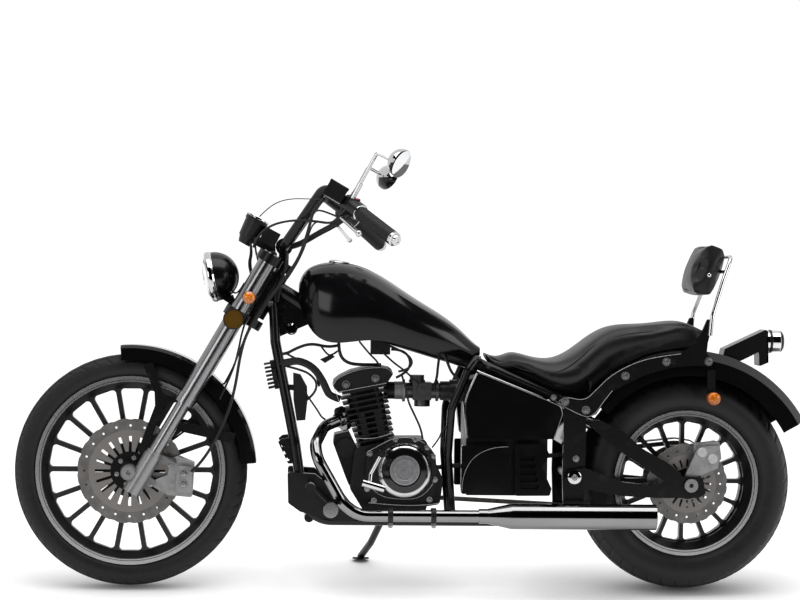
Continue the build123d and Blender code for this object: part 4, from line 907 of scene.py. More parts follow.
def tyre_section(radius, half, crown, rim_r, rim_half):
    """The tyre's section from bead to bead as (radius, y), and the radius where its tread begins."""
    bead, bead_foot = rim_half - BEAD_INSET, rim_r - BEAD_DEPTH
    edge = half * EDGE_SHARE
    shoulder = radius - crown + math.sqrt(crown ** 2 - edge ** 2)
    belly = rim_r + (radius - rim_r) * BELLY_SHARE
    wall = three_point_arc((rim_r, -bead), (belly, -half), (shoulder, -edge), WALL_POINTS)[:-1]
    top = three_point_arc((shoulder, -edge), (radius, 0), (shoulder, edge), TREAD_POINTS)
    far_wall = [(r, -y) for r, y in reversed(wall)]
    return np.array([(bead_foot, -bead), *wall, *top, *far_wall, (bead_foot, bead)]), shoulder


def tyre_piece(node, groove, steps):
    """The node's own section turned round its axle, with tread grooves sunk into its crown."""
    axle, radius, half, crown, rim_r, rim_half, rows = TYRES[node]
    section, shoulder = tyre_section(radius, half, crown, rim_r, rim_half)
    reach, width = section[:, 0], section[:, 1]
    count = len(section)
    turn = np.linspace(0, 2 * math.pi, steps, endpoint=False)[:, None]
    crown_part = np.clip((reach - shoulder + 6.0) / 5.0, 0, 1)
    sunk = tread_depth(turn, width / (half * 0.93), rows, half) * crown_part * groove * 1000
    rise = np.zeros(count)
    for ring in WALL_RINGS:
        rise[[ring, count - 1 - ring]] = WALL_RING_RISE
    out = reach - sunk
    side = np.broadcast_to(width + np.sign(width) * rise, out.shape)
    xyz = np.stack([axle[0] + out * np.cos(turn), side, axle[2] + out * np.sin(turn)], axis=-1).reshape(-1, 3)
    turned = np.array(LEANED)
    xyz = (xyz / 1000) @ turned[:3, :3].T + turned[:3, 3]
    row, column = np.meshgrid(np.arange(steps), np.arange(count), indexing="ij")
    next_row, next_column = (row + 1) % steps, (column + 1) % count
    corners = [row * count + column, next_row * count + column, next_row * count + next_column,
               row * count + next_column]
    mesh = bpy.data.meshes.new(node + "_treaded")
    mesh.from_pydata(xyz.tolist(), [], np.stack(corners, axis=-1).reshape(-1, 4).tolist())
    mesh.update()
    body = "front_wheel" if node == "front_tyre" else "rear_wheel"
    piece = new_piece(node + "_treaded", mesh, node, body)
    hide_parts(node)


class CRUISER_OT_tyres(bpy.types.Operator):
    """Mould the tread and sidewall rings of both tyres"""

    bl_idname = "cruiser.tyres"
    bl_label = "Tyres"

    def execute(self, context):
        choices = context.scene.cruiser_tyres
        for node in TYRES:
            tyre_piece(node, choices.groove, choices.steps)
        return {"FINISHED"}


# ---------------------------------------------------------------- upholstery
class CruiserUpholstery(bpy.types.PropertyGroup):
    """Stuffing of the seat and back pad."""

    pressure: bpy.props.FloatProperty(name="Pressure", description="Stuffing pressure", default=4.0, min=0,
                                      max=20)
    seat_swell: bpy.props.FloatProperty(name="Seat swell", description="Most that the seat's skin may move",
                                        default=0.007, unit="LENGTH", min=0, max=0.02)
    pad_swell: bpy.props.FloatProperty(name="Pad swell", description="Most that the back pad's skin may move",
                                       default=0.012, unit="LENGTH", min=0, max=0.02)
    piping: bpy.props.FloatProperty(name="Piping", description="Radius of the seams' piping", default=0.0022,
                                    unit="LENGTH", min=0.0005, max=0.006)


def points_of(mesh):
    """A mesh's points as rows of three."""
    points = np.zeros(len(mesh.vertices) * 3)
    mesh.vertices.foreach_get("co", points)
    return points.reshape(-1, 3)


def work_in(piece):
    """Gives a piece the mesh that its modifiers make, in place of them."""
    mesh = evaluated_mesh(piece)
    piece.modifiers.clear()
    piece.data = mesh
    return mesh


def stuffed(name, node, voxel, inset, pressure, swell, freedom):
    """Copy of a packed cushion, remeshed smaller and blown up as cloth.

    freedom(points) is 0 where the skin is held and 1 where it moves as far as swell.
    """
    piece = plain_object(name, NODES[node].data.copy())
    shape = piece.modifiers.new("even_mesh", "REMESH")
    shape.mode, shape.voxel_size = "VOXEL", voxel
    smooth = piece.modifiers.new("soft_edges", "SMOOTH")
    smooth.factor, smooth.iterations = 0.5, 8
    shrink = piece.modifiers.new("inset", "DISPLACE")
    shrink.strength, shrink.mid_level = -inset, 0.0
    mesh = work_in(piece)
    start = points_of(mesh)
    move = blow_up(piece, pressure) - start
    length = np.linalg.norm(move, axis=1, keepdims=True)
    limit = swell * freedom(start)[:, None]
    move *= np.minimum(1.0, limit / np.maximum(length, 1e-9))
    mesh.vertices.foreach_set("co", (start + move).ravel())
    mesh.update()
    relax = piece.modifiers.new("relax", "SMOOTH")
    relax.factor, relax.iterations = 0.5, 3
    finer = piece.modifiers.new("finer", "SUBSURF")
    finer.levels = finer.render_levels = 1
    work_in(piece)
    return piece


def blow_up(piece, pressure, frames=20):
    """Points of the piece after a short cloth simulation with inner pressure and no gravity."""
    scene = bpy.context.scene
    cloth = piece.modifiers.new("stuffing", "CLOTH")
    cloth.settings.use_pressure, cloth.settings.uniform_pressure_force = True, pressure
    cloth.settings.effector_weights.gravity = 0.0
    cloth.settings.quality = 5
    cloth.settings.bending_stiffness = 2.0
    cloth.point_cache.frame_start, cloth.point_cache.frame_end = 1, frames
    for frame_number in range(1, frames + 1):
        scene.frame_set(frame_number)
    points = points_of(piece.evaluated_get(bpy.context.evaluated_depsgraph_get()).data)
    piece.modifiers.remove(cloth)
    scene.frame_set(1)
    return points


def surface_of(piece):
    """Search tree of a piece's faces."""
    return BVHTree.FromObject(piece, bpy.context.evaluated_depsgraph_get())


def hit(tree, start, direction):
    """Upright millimetres where a line from an upright point meets a surface, or None."""
    place = tree.ray_cast(at(*start), toward(*direction))[0]
    if place is None:
        return None
    return tuple(part * 1000 for part in LEANED.inverted() @ place)


def seat_freedom(points):
    """How free the seat's skin is: nearly held at the nose and the underside, free over the rest."""
    turned = np.array(LEANED.inverted())
    least = 0.15
    x, _, z = (points @ turned[:3, :3].T + turned[:3, 3]).T
    foot = 0.640 + np.clip(x - 1.34, 0, 0.35) * 0.28
    over_foot = np.clip((z - foot) / 0.03, 0, 1)
    behind_nose = np.clip((x - 1.06) / 0.08, 0, 1)
    return least + (1 - least) * over_foot * behind_nose


def pad_freedom(points):
    """How free the back pad's skin is: free all round."""
    return np.ones(len(points))


SEAT_SEAM = [(1064, 694), (1124, 668), (1206, 645), (1262, 652), (1311, 682), (1373, 738), (1443, 763),
             (1533, 776), (1624, 774), (1690, 770)]
PAD_FACE = [(-64, 1016), (-34, 1028), (0, 1031), (34, 1028), (64, 1016), (76, 985), (76, 945), (64, 910),
            (34, 898), (0, 895), (-34, 898), (-64, 910), (-76, 945), (-76, 985)]

STUD = [(0, 0), (6, 0), (6, 1.5), (4, 3), (0, 3.5)]


class CRUISER_OT_upholstery(bpy.types.Operator):
    """Stuff the seat and the back pad, and sew their seams"""

    bl_idname = "cruiser.upholstery"
    bl_label = "Upholstery"

    def execute(self, context):
        choices = context.scene.cruiser_upholstery
        self.seat(choices)
        self.back_pad(choices)
        return {"FINISHED"}

    def seat(self, choices):
        """The seat, with piping along both sides."""
        cushion = stuffed("seat_cushion", "seat", voxel=0.006, inset=0.0035, pressure=choices.pressure,
                          swell=choices.seat_swell, freedom=seat_freedom)
        self.finish(cushion, "seat", 0.75)
        tree = surface_of(cushion)
        routes = []
        for side in (-1, 1):
            points = [hit(tree, (x, side * 400, z), (0, -side, 0)) for x, z in SEAT_SEAM]
            routes.append((choices.piping * 1000, [p for p in points if p]))
        tube_piece("seat_piping", routes, "vinyl", "chassis")

    def back_pad(self, choices):
        """The back pad, with piping round its face and a stud on each side."""
        pad = stuffed("back_pad_cushion", "back_pad", voxel=0.0045, inset=0.003, pressure=choices.pressure,
                      swell=choices.pad_swell, freedom=pad_freedom)
        self.finish(pad, "back_pad", 0.85)
        tree = surface_of(pad)
        points = [hit(tree, (1500, y, z), (1, 0, 0)) for y, z in PAD_FACE]
        routes = [(choices.piping * 1000, [p for p in points if p])]
        tube_piece("back_pad_piping", routes, "vinyl", "chassis", cyclic=True)
        spots = []
        for side in (-1, 1):
            place = hit(tree, (1713, side * 300, 945), (0, -side, 0))
            if place:
                spots.append(((place[0], place[1] - side * 0.5, place[2]), (0, side, 0), STUD))
        turned_piece("back_pad_studs", spots, "chrome", "chassis", 20)

    def finish(self, piece, node, fill):
        """Covers a cushion in vinyl, smooths it, puts it on the chassis and hides its packed node."""
        coat(piece.data, "vinyl")
        piece.data.shade_smooth()
        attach(piece, "chassis")
        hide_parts(node)


# ---------------------------------------------------------------- fittings
class CruiserFittings(bpy.types.PropertyGroup):
    """Sizes of the small fittings."""

    # edge is the radius of the thin pale tubes that paint a highlight along the edges of the struts, covers
    # and engine
    edge: bpy.props.FloatProperty(name="Painted highlight", description="Radius of the polished edges' lines",
                                  default=0.0007, unit="LENGTH", min=0.0003, max=0.003)
    cable: bpy.props.FloatProperty(name="Cable", description="Radius of the control cables", default=0.003,
                                   unit="LENGTH", min=0.001, max=0.006)


# profiles of the turned fittings, as (radius, height) in millimetres
REFLECTOR = [(r, -46.0 + (r / 66.0) ** 2 * 42.0) for r in (6, 14, 24, 34, 44, 54, 62, 65.5)]
REFLECTOR += [(67.0, -3.0), (66.0, -5.0)]
BULB = [(0, -48), (6, -48), (6, -30), (9, -26), (10, -20), (8, -13), (0, -11)]
LAMP_RIM = [(69.5, 3.6), (73.0, 4.6), (76.0, 2.0), (77.2, -2.5), (77.0, -11.0), (75.0, -14.0), (74.6, -11.0)]
TAIL_LENS = [(0, 59.2), (12, 59.0), (21, 58.4), (25.5, 57.3), (25.5, 56.0), (0, 56.0)]
REFLECTOR_HOOP = [(27.6, 0), (30.8, 0), (30.8, 1.0), (30.0, 2.2), (28.2, 2.2), (27.6, 1.2), (27.6, 0)]
BULLET_HOOP = [(18.3, -2.0), (19.4, -2.0), (19.4, 2.0), (18.3, 2.0), (18.3, -2.0)]
BULLET_DOME = [(0, 8.0), (6, 7.4), (11, 5.8), (15, 3.2), (17.6, 0.4), (17.6, 0), (0, 0)]
DIAL = [(0, 0.4), (31.5, 0.4), (31.5, 0), (0, 0)]
DIAL_RIM = [(31.5, -1), (36.4, -1), (36.8, 1.5), (35.6, 4.2), (33.0, 4.6), (31.5, 3.4), (31.5, -1)]
GRIP_RIB = [(19.6, -1.2), (20.7, -0.9), (21.0, 0), (20.7, 0.9), (19.6, 1.2), (19.6, -1.2)]
BAR_WEIGHT = [(15, -1), (20.8, -1), (21.2, 2), (20.6, 7), (15.5, 9), (15.5, 16.5), (14.0, 18.5), (7, 18.7),
              (6, 17), (0, 17)]
GRIP_COLLAR = [(20, 0), (24.5, 0), (25, 1.5), (24.5, 6), (20.5, 7), (20, 0)]
BUTTON = [(0, 0), (8.5, 0), (8.5, 3.5), (7.5, 5.0), (0, 5.2)]
PISTON_COVER = [(0, -1), (14.5, -1), (14.5, 3.5), (13.2, 5.0), (3.0, 5.4), (0, 5.4)]
PIVOT_CAP = [(0, 0), (20, 0), (20, 2), (17, 3.5), (0, 3.5)]
LOCK = [(0, 0), (18, 0), (18, 6), (15, 8), (15, 24), (12, 27), (0, 27)]
NECK_BOLT = [(0, 0), (9, 0), (9, 3), (7, 5), (0, 5)]
FILLER_CAP = [(0, 5), (10, 5), (24, 4), (30, 1), (31.5, -2), (31.5, -12), (29, -14)]
PIPE_CLAMP = [(17.5, -7.6), (22.6, -7.6), (23.2, -6), (23.2, 6), (22.6, 7.6), (17.5, 7.6)]


class CRUISER_OT_lamps(bpy.types.Operator):
    """Fit the headlamp's reflector and bulb, the tail lens and the indicators' rims"""

    bl_idname = "cruiser.lamps"
    bl_label = "Lamps"

    def execute(self, context):
        for name, profile, finish, segments in (
                ("headlamp_reflector", REFLECTOR, "reflector_bowl", 48),
                ("headlamp_bulb", BULB, "mirror_glass", 20),
                ("headlamp_rim", LAMP_RIM, "chrome", 64)):
            turned_piece(name, [(LAMP_FACE, LAMP_OUT, profile)], finish, "steering", segments)
        tail = [((1902.0, 0, 747.0), (1, 0, 0), TAIL_LENS)]
        turned_piece("tail_lamp_lens", tail, "red", "chassis", 40)
        hoops, domes = [], []
        for side in (-1, 1):
            hoops.append(((302.5, side * 142.4, 799.0), (0, side, 0), REFLECTOR_HOOP))
            hoops.append(((347.0, side * 146.0, 862.0), (0, side, 0), BULLET_HOOP))
            domes.append(((347.0, side * 157.6, 862.0), (0, side, 0), BULLET_DOME))
        turned_piece("indicator_rims", hoops, "plastic", "steering", 36)
        turned_piece("indicator_domes", domes, "front_indicators", "steering")
        return {"FINISHED"}


GRIP_IN = (655.0, 328.0, 1113.5)
GRIP_WAY = (97.0, 114.0, -79.5)
GRIP_RIBS = 22
MIRROR_HALF = (62.5, 42.0)
LID_HALF = (29.0, 30.0)
LID_CORNERS = ((1, 1, 0), (1, 1, 1), (1, -1, 1), (1, -1, 0), (-1, -1, 0), (-1, -1, 1), (-1, 1, 1), (-1, 1, 0))


def on_grip(t, side):
    """Point at fraction t along a grip: 0 at the switch housing, 1 at the bar's end."""
    return (GRIP_IN[0] + GRIP_WAY[0] * t, side * (GRIP_IN[1] + GRIP_WAY[1] * t), GRIP_IN[2] + GRIP_WAY[2] * t)


class CRUISER_OT_bars(bpy.types.Operator):
    """Fit the dial, the mirror glasses, the grips' ribs and the switches"""

    bl_idname = "cruiser.bars"
    bl_label = "Handlebar Fittings"

    def execute(self, context):
        face, out = (DIAL_CENTRE[0], 0.0, DIAL_CENTRE[1]), (DIAL_OUT[0], 0.0, DIAL_OUT[1])
        turned_piece("speedometer_dial", [(face, out, DIAL)], "dial", "steering", 48)
        turned_piece("speedometer_rim", [(face, out, DIAL_RIM)], "chrome", "steering", 56)
        ribs, ends, buttons = [], [], []
        for side in (-1, 1):
            way = (GRIP_WAY[0], side * GRIP_WAY[1], GRIP_WAY[2])
            ribs += [(on_grip(0.14 + i * 0.039, side), way, GRIP_RIB) for i in range(GRIP_RIBS)]
            ends.append((on_grip(1.0, side), way, BAR_WEIGHT))
            ends.append((on_grip(0.055, side), way, GRIP_COLLAR))
            buttons.append(((655.0, side * 322.0, 1142.0), (0.1, side * -0.3, 1.0), BUTTON))
        turned_piece("grip_ribs", ribs, "rubber", "steering", 28)
        turned_piece("bar_ends", ends, "chrome", "steering")
        turned_piece("kill_switch", buttons[:1], "switch_red", "steering", 20)
        turned_piece("horn_button", buttons[1:], "plastic", "steering", 20)
        self.mirror_glass()
        self.reservoir_lid()
        return {"FINISHED"}

    def mirror_glass(self):
        """Oval glass in the flat back of each mirror's head."""
        bm = bmesh.new()
        wide, high = MIRROR_HALF
        for side in (-1, 1):
            yaw = Matrix.Rotation(math.radians(side * 22), 4, "Z")
            pitch = Matrix.Rotation(math.radians(28), 4, "Y")
            head = Matrix.Translation((776.0, side * 376.0, 1246.0)) @ yaw @ pitch
            rings = []
            for share, out in ((0.0, 0.9), (0.5, 0.8), (0.9, 0.4), (0.94, -0.2)):
                oval = [(out, wide * share * math.cos(a), high * share * math.sin(a))
                        for a in circle(40 if share else 1)]
                rings.append([bm.verts.new(at(*(head @ Vector(point)))) for point in oval])
            bridge(bm, rings)
        new_piece("mirror_glasses", mesh_from(bm, "mirror_glasses"), "mirror_glass", "steering")

    def reservoir_lid(self):
        """Lid with cut corners on the fluid reservoir."""
        tilt = Matrix.Translation((592.0, -302.0, 1166.0)) @ Matrix.Rotation(math.radians(30), 4, "Y")
        bm = bmesh.new()
        long, wide = LID_HALF
        loops = []
        for grow, height in ((0.0, 21.5), (1.2, 22.0), (1.2, 26.0), (-0.6, 27.6)):
            points = [(sx * (long + grow - cut * 3), sy * (wide + grow - (1 - cut) * 3), height)
                      for sx, sy, cut in LID_CORNERS]
            loops.append([bm.verts.new(at(*(tilt @ Vector(point)))) for point in points])
        bridge(bm, loops)
        bm.faces.new(loops[-1])
        new_piece("reservoir_lid", mesh_from(bm, "reservoir_lid"), "plastic", "steering")


STEERING_CABLES = [   # (radius scale, route), all on the bars and fork
    (0.55, [(373, -15, 1104), (398, -60, 1128), (432, -120, 1146), (473, -180, 1152), (517, -235, 1149),
            (560, -284, 1146)]),
    (1.25, [(356, -60, 1011), (370, -75, 1047), (411, -110, 1078), (473, -170, 1090), (535, -230, 1086),
            (587, -285, 1076), (604, -306, 1094)]),
    (0.9, [(291, -14, 881), (300, -18, 872), (316, -24, 880), (330, -30, 905)]),
    (1.0, [(345, -18, 1030), (350, -28, 1000), (341, -34, 962), (350, -38, 930), (352, -36, 900)]),
    (1.0, [(360, -30, 1040), (361, -44, 1004), (372, -52, 968), (378, -50, 940)]),
    (1.0, [(345, 18, 1030), (352, 30, 1000), (344, 36, 962), (352, 40, 930)]),
    (1.1, [(360, -30, 850), (338, -58, 800), (324, -64, 752), (318, -66, 716), (300, -66, 640),
           (262, -64, 560)]),
    (1.1, [(366, 30, 850), (352, 62, 790), (322, 66, 716), (286, 66, 620), (190, 70, 470), (60, 70, 392)]),
]
BRAKE_HOSE = [(560, -290, 1148), (533, -264, 1124), (520, -226, 1070), (508, -196, 1028), (490, -172, 976),
              (448, -152, 916), (394, -139, 841), (342, -136, 764), (322, -136, 690), (310, -131, 600),
              (286, -120, 512), (246, -108, 428), (204, -98, 366), (182, -101, 348)]
BUNDLE = [(456, -74, 1012), (483, -100, 1017), (514, -150, 1032), (553, -210, 1055), (592, -262, 1074),
          (628, -300, 1098)]
CROSSING_CABLES = [   # (radius scale, route) from the bars to the frame
    (0.95, [(604, -314, 1094), (566, -280, 1112), (536, -242, 1118), (524, -225, 1090), (516, -195, 1046),
            (508, -155, 1012), (478, -115, 948), (436, -70, 900), (420, -48, 870), (424, -40, 830)]),
    (0.95, [(606, 316, 1092), (566, 276, 1102), (534, 235, 1096), (516, 195, 1040), (500, 150, 1000),
            (476, 110, 948), (440, 66, 896), (424, 48, 860), (428, 42, 820)]),
    (1.7, [(456, -70, 1010), (452, -56, 972), (446, -44, 930), (436, -42, 890), (428, -38, 850)]),
]
ENGINE_LINES = [   # (radius, route), on the chassis
    (11.5, [(438, -46, 666), (466, -54, 672), (497, -60, 677), (540, -62, 656), (567, -62, 616),
            (577, -60, 592), (588, -52, 572), (617, -44, 563)]),
    (5.0, [(613, -40, 730), (614, -42, 694), (640, -44, 669), (686, -42, 665), (740, -36, 666)]),
    (4.0, [(770, -40, 712), (799, -48, 712), (823, -66, 692), (826, -72, 663), (806, -70, 640),
           (784, -64, 629)]),
    (3.6, [(766, -50, 722), (813, -76, 704), (834, -84, 676), (815, -84, 652), (790, -78, 648)]),
    (3.2, [(742, -60, 705), (772, -70, 676), (806, -80, 653), (829, -78, 632), (853, -60, 612)]),
    (3.0, [(674, -40, 735), (704, -55, 698), (731, -62, 674), (740, -66, 650)]),
    (3.4, [(800, -60, 640), (812, -96, 600), (818, -116, 560), (836, -124, 524), (858, -122, 478),
           (862, -112, 452)]),
    (4.2, [(914, -50, 700), (909, -54, 667), (907, -44, 624), (900, -28, 606)]),
    (4.2, [(930, -40, 700), (943, -50, 656), (962, -54, 632), (985, -60, 610)]),
    (2.4, [(944, -104, 500), (921, -100, 479), (912, -98, 450), (892, -90, 424)]),
    (4.5, [(430, -48, 700), (447, -50, 690), (492, -52, 716), (533, -52, 728), (583, -50, 716),
           (609, -46, 722)]),
    (3.6, [(455, -52, 660), (508, -62, 648), (534, -66, 632), (550, -64, 610), (543, -58, 579),
           (520, -56, 560)]),
    (3.4, [(452, -46, 700), (480, -56, 684), (520, -60, 670), (548, -56, 640), (556, -52, 600)]),
    (3.0, [(560, -52, 720), (574, -54, 700), (590, -52, 690), (610, -46, 706)]),
    (3.0, [(505, -60, 596), (530, -66, 560), (554, -70, 527), (566, -66, 505), (600, -58, 490)]),
]


class CRUISER_OT_cables(bpy.types.Operator):
    """Run the control cables, the brake hose and the lines round the engine"""

    bl_idname = "cruiser.cables"
    bl_label = "Cables"

    def execute(self, context):
        radius = context.scene.cruiser_fittings.cable * 1000
        on_bars = [(scale * radius, points) for scale, points in STEERING_CABLES]
        crossing = [(scale * radius, points) for scale, points in CROSSING_CABLES]
        for name, routes, body, sides in (
                ("bar_cables", on_bars, "steering", 8),
                ("brake_hose", [(4.5, BRAKE_HOSE)], "steering", 12),
                ("wiring_bundle", [(9.0, BUNDLE)], "steering", 12),
                ("crossing_cables", crossing, None, 8),
                ("engine_lines", ENGINE_LINES, "chassis", 12)):
            piece = tube_piece(name, routes, "rubber", body, sides)
            if body is None:
                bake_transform(piece)
        return {"FINISHED"}


STRUT_BOLTS = [(1280, 567), (1342, 542), (1458, 644), (1580, 687), (1706, 689)]
HEAD_BOLTS = [(635, 608), (722, 627)]
CASE_BOLTS = [(700, 303), (720, 268), (884, 272), (899, 331), (893, 400), (874, 424), (839, 447), (783, 446),
              (706, 407)]
CALIPER_BOLTS = [((160.0, -98.0, 311.0), NEAR, 9.5), ((160.0, -98.0, 342.0), NEAR, 9.5),
                 ((118.0, -88.4, 366.0), NEAR, 5.0), ((64.0, -88.4, 308.0), NEAR, 5.0),
                 ((182.0, -98.4, 348.0), NEAR, 5.0)]
PIVOT_BOLTS = [((1308.0, -158.0, 345.0), NEAR, 9.0), ((1316.0, -129.2, 397.0), NEAR, 6.5),
               ((1244.0, -150.2, 579.0), NEAR, 6.0)]
YOKE_BOLTS = [((417.0, -95.0, 992.0), (0.5, 0, 0.87), 7.0)]
PIPE_CLAMPS = (766.0, 892.0)
BLOCKS = [   # outline in x and z, y, thickness, bevel
    ([(557, 681), (591, 697), (602, 689), (572, 670)], -58.0, 12.0, 2.0),
    ([(708, 697), (708, 742), (766, 730), (766, 697)], -12.0, 46.0, 2.0),
    ([(478, 641), (500, 636), (520, 600), (522, 560), (516, 500), (490, 498), (480, 560)], -44.0, 20.0, 2.0),
    ([(446, 606), (446, 590), (492, 586), (492, 604)], -44.0, 5.0, 2.0),
]
FIN_CORE = [(640, 560), (744, 588), (768, 462), (684, 436)]
SEAT_PAN = [(1072, 681), (1138, 662), (1190, 645), (1236, 623), (1282, 613), (1321, 615), (1352, 625),
            (1370, 562), (1286, 552), (1256, 561), (1171, 596), (1093, 627), (1035, 650)]


class CRUISER_OT_fasteners(bpy.types.Operator):
    """Fit the bolts, caps and small blocks"""

    bl_idname = "cruiser.fasteners"
    bl_label = "Fasteners"

    def execute(self, context):
        head_bolts = both_sides(near_row(HEAD_BOLTS, -75.0, 8.0))
        bolts("strut_bolts", "chassis", both_sides(near_row(STRUT_BOLTS, -138.0, 8.5)))
        bolts("engine_bolts", "chassis", head_bolts + near_row(CASE_BOLTS, -116.0, 6.0))
        bolts("front_disc_bolts", "front_wheel", bolt_circle(FRONT_AXLE, 40, -57.6))
        bolts("rear_disc_bolts", "rear_wheel", bolt_circle(REAR_AXLE, 38, -96.6))
        bolts("caliper_bolts", "steering", CALIPER_BOLTS)
        covers = [((x, -131.7, z), NEAR, PISTON_COVER) for x, z in ((1691.0, 419.0), (1723.0, 400.0))]
        turned_piece("caliper_piston_covers", covers, "painted_highlight_and_pale_metal", "chassis", 28)
        bolts("pivot_bolts", "chassis", both_sides(PIVOT_BOLTS))
        caps = [((1308.0, side * 158.0, 345.0), (0, side, 0), PIVOT_CAP) for side in (-1, 1)]
        turned_piece("frame_caps", caps, "chrome", "chassis")
        turned_piece("steering_lock", [((472.0, -4.5, 769.0), NEAR, LOCK)], "chrome", "chassis", 28)
        turned_piece("neck_bolt", [((409.0, -31.0, 842.0), NEAR, NECK_BOLT)], "steel", "chassis", 20)
        bolts("yoke_bolts", "steering", both_sides(YOKE_BOLTS), "satin")
        cap = [((612.0, 0.0, 971.0), (0.15, 0, 1), FILLER_CAP)]
        turned_piece("filler_cap", cap, "chrome", "chassis", 48)
        clamps = [((x, -185.0, 232.0), (1, 0, 0), PIPE_CLAMP) for x in PIPE_CLAMPS]
        turned_piece("pipe_clamps", clamps, "cast_black", "chassis", 36)
        bolts("clamp_bolts", "chassis", near_row([(x, 204.0) for x in PIPE_CLAMPS], -194.0, 5.0))
        core = [(FIN_CORE, half, 30.0, 3.0) for half in (-0.5, 0.5)]
        plate_piece("cylinder_core", core, "cast_black")
        skirts = [(SEAT_PAN, y, 6.0, 1.0) for y in (-50.0, 50.0)]
        plate_piece("seat_pan_skirts", skirts, "satin")
        plate_piece("connector_blocks", BLOCKS, "plastic")
        return {"FINISHED"}


# lines along rounded edges where a painted highlight is drawn, as (x, z) points in upright millimetres
STRUT_TOP = [(1262, 567), (1276, 583), (1338, 568), (1372, 602), (1416, 646), (1480, 681), (1549, 702),
             (1623, 711)]
STRUT_FOOT = [(1262, 562), (1272, 554), (1324, 528), (1349, 521), (1371, 532), (1394, 568), (1420, 600)]
PANEL_TOP = [(1022, 650), (1140, 604), (1260, 557), (1270, 545), (1271, 528)]
PANEL_BACK = [(1271, 528), (1262, 500), (1247, 458)]
SQUARE_EDGE = [(977, 299), (977, 431), (1112, 433)]
CASE_LINES = [
    [(700, 412), (742, 436), (780, 455), (842, 455), (868, 438)],
    [(714, 306), (730, 284), (790, 272), (868, 276), (894, 320)],
    [(704, 262), (790, 254), (880, 256), (912, 262)],
    [(672, 452), (720, 446), (776, 470)],
]
ROCKER_LINES = [
    [(598, 606), (604, 620), (622, 632), (652, 646), (692, 656), (742, 660), (766, 654), (772, 641)],
    [(612, 585), (680, 598), (755, 613)],
    [(598, 602), (612, 566), (618, 548)],
]
COVER_ROLL = [(1018, 648), (998, 606), (983, 566), (984, 520), (992, 458)]


def mirrored(lines, y):
    """Routes of (x, z) lines on both sides, at a distance from the middle plane."""
    return [[(x, side * y, z) for x, z in line] for side in (-1, 1) for line in lines]


class CRUISER_OT_painted_highlights(bpy.types.Operator):
    """Draw thin lines of painted highlight along the edges of the struts, covers and engine, and chrome rolls
    along the covers' front edges
    """

    bl_idname = "cruiser.trim"
    bl_label = "Painted Highlights"

    def execute(self, context):
        radius = context.scene.cruiser_fittings.edge * 1000
        # the thin pale tubes below are a painted highlight along each edge, not real trim
        case = [[(x, -117.6, z) for x, z in line] for line in CASE_LINES]
        for name, lines, slot in (
                ("strut_painted_highlights", mirrored([STRUT_TOP, STRUT_FOOT], 138.0), "chrome"),
                ("cover_painted_highlights", mirrored([PANEL_TOP, PANEL_BACK], 149.6), "chrome"),
                ("square_cover_painted_highlights", mirrored([SQUARE_EDGE], 147.6), "chrome"),
                ("engine_painted_highlights", case + mirrored(ROCKER_LINES, 74.0), "steel")):
            tube_piece(name, [(radius, line) for line in lines], "painted_highlight_and_pale_metal", "chassis")
        rolls = [(4.0, line) for line in mirrored([COVER_ROLL], 146.5)]
        tube_piece("cover_rolls", rolls, "chrome", "chassis", 16)
        return {"FINISHED"}


# ---------------------------------------------------------------- stage
class CruiserStage(bpy.types.PropertyGroup):
    """Camera, floor and light."""

    lens: bpy.props.FloatProperty(name="Lens", description="Focal length", default=90.0, unit="CAMERA",
                                  min=10, max=300)
    distance: bpy.props.FloatProperty(name="Distance", description="Camera's distance from the motorcycle",
                                      default=6.0, unit="LENGTH", min=2, max=20)
    key: bpy.props.FloatProperty(name="Key", description="Power of the overhead panel", default=80.0,
                                 unit="POWER")
    floor: bpy.props.FloatVectorProperty(name="Floor", description="Floor colour", subtype="COLOR", size=3,
                                         default=(0.5, 0.5, 0.5), min=0, max=1)
    glow: bpy.props.FloatProperty(name="Glow", description="White added to the floor for the eye and mirrors",
                                  default=0.8, min=0, max=1)


CAMERA_PLACE = (0.4817, 0.9045)      # x and z in metres along the motorcycle's upright axes
CAMERA_TURN = (3.0, 0.43, 0.7)       # yaw, pitch and roll in degrees
SKY_LIGHT = 0.42
FLOOR_HALF = 40.0
SHADE_REACH, SHADE_POWER = 0.28, 1.6     # how far, and how sharply, the motorcycle darkens the white floor
FLAG_HALF = 9.0
FLAG_PROFILE = ((-7.5, 0.3), (-7.5, 3.4), (-6.6, 5.0), (-4.6, 6.0), (0.4, 6.4))     # y and z in metres
PANELS = (   # name, place, target, size, share of the key power
    ("overhead_panel", (0.1, -0.6, 3.4), (0.0, 0.1, 0.4), (3.6, 2.0), 1.0),
    ("front_panel", (-2.6, -3.2, 1.9), (0.0, 0.0, 0.5), (1.6, 1.6), 0.3),
    ("tail_panel", (3.0, -2.0, 1.6), (0.3, 0.0, 0.5), (1.2, 1.6), 0.25),
)


def aim_camera(lens, distance):
    """Camera beside the motorcycle, turned a little toward the tail."""
    yaw, pitch, roll = map(math.radians, CAMERA_TURN)
    forward = Vector((math.sin(yaw) * math.cos(pitch), math.cos(yaw) * math.cos(pitch), -math.sin(pitch)))
    right = forward.cross(Vector((0, 0, 1))).normalized()
    up = right.cross(forward)
    side = right * math.cos(roll) + up * math.sin(roll)
    top = up * math.cos(roll) - right * math.sin(roll)
    camera = plain_object("camera", bpy.data.cameras.new("camera"))
    camera.data.lens, camera.data.sensor_width = lens, 36.0
    camera.data.clip_end = 100.0
    turn = Matrix((side, top, -forward)).transposed().to_4x4()
    camera.matrix_world = LEANED @ Matrix.Translation((CAMERA_PLACE[0], -distance, CAMERA_PLACE[1])) @ turn
    bpy.context.scene.camera = camera


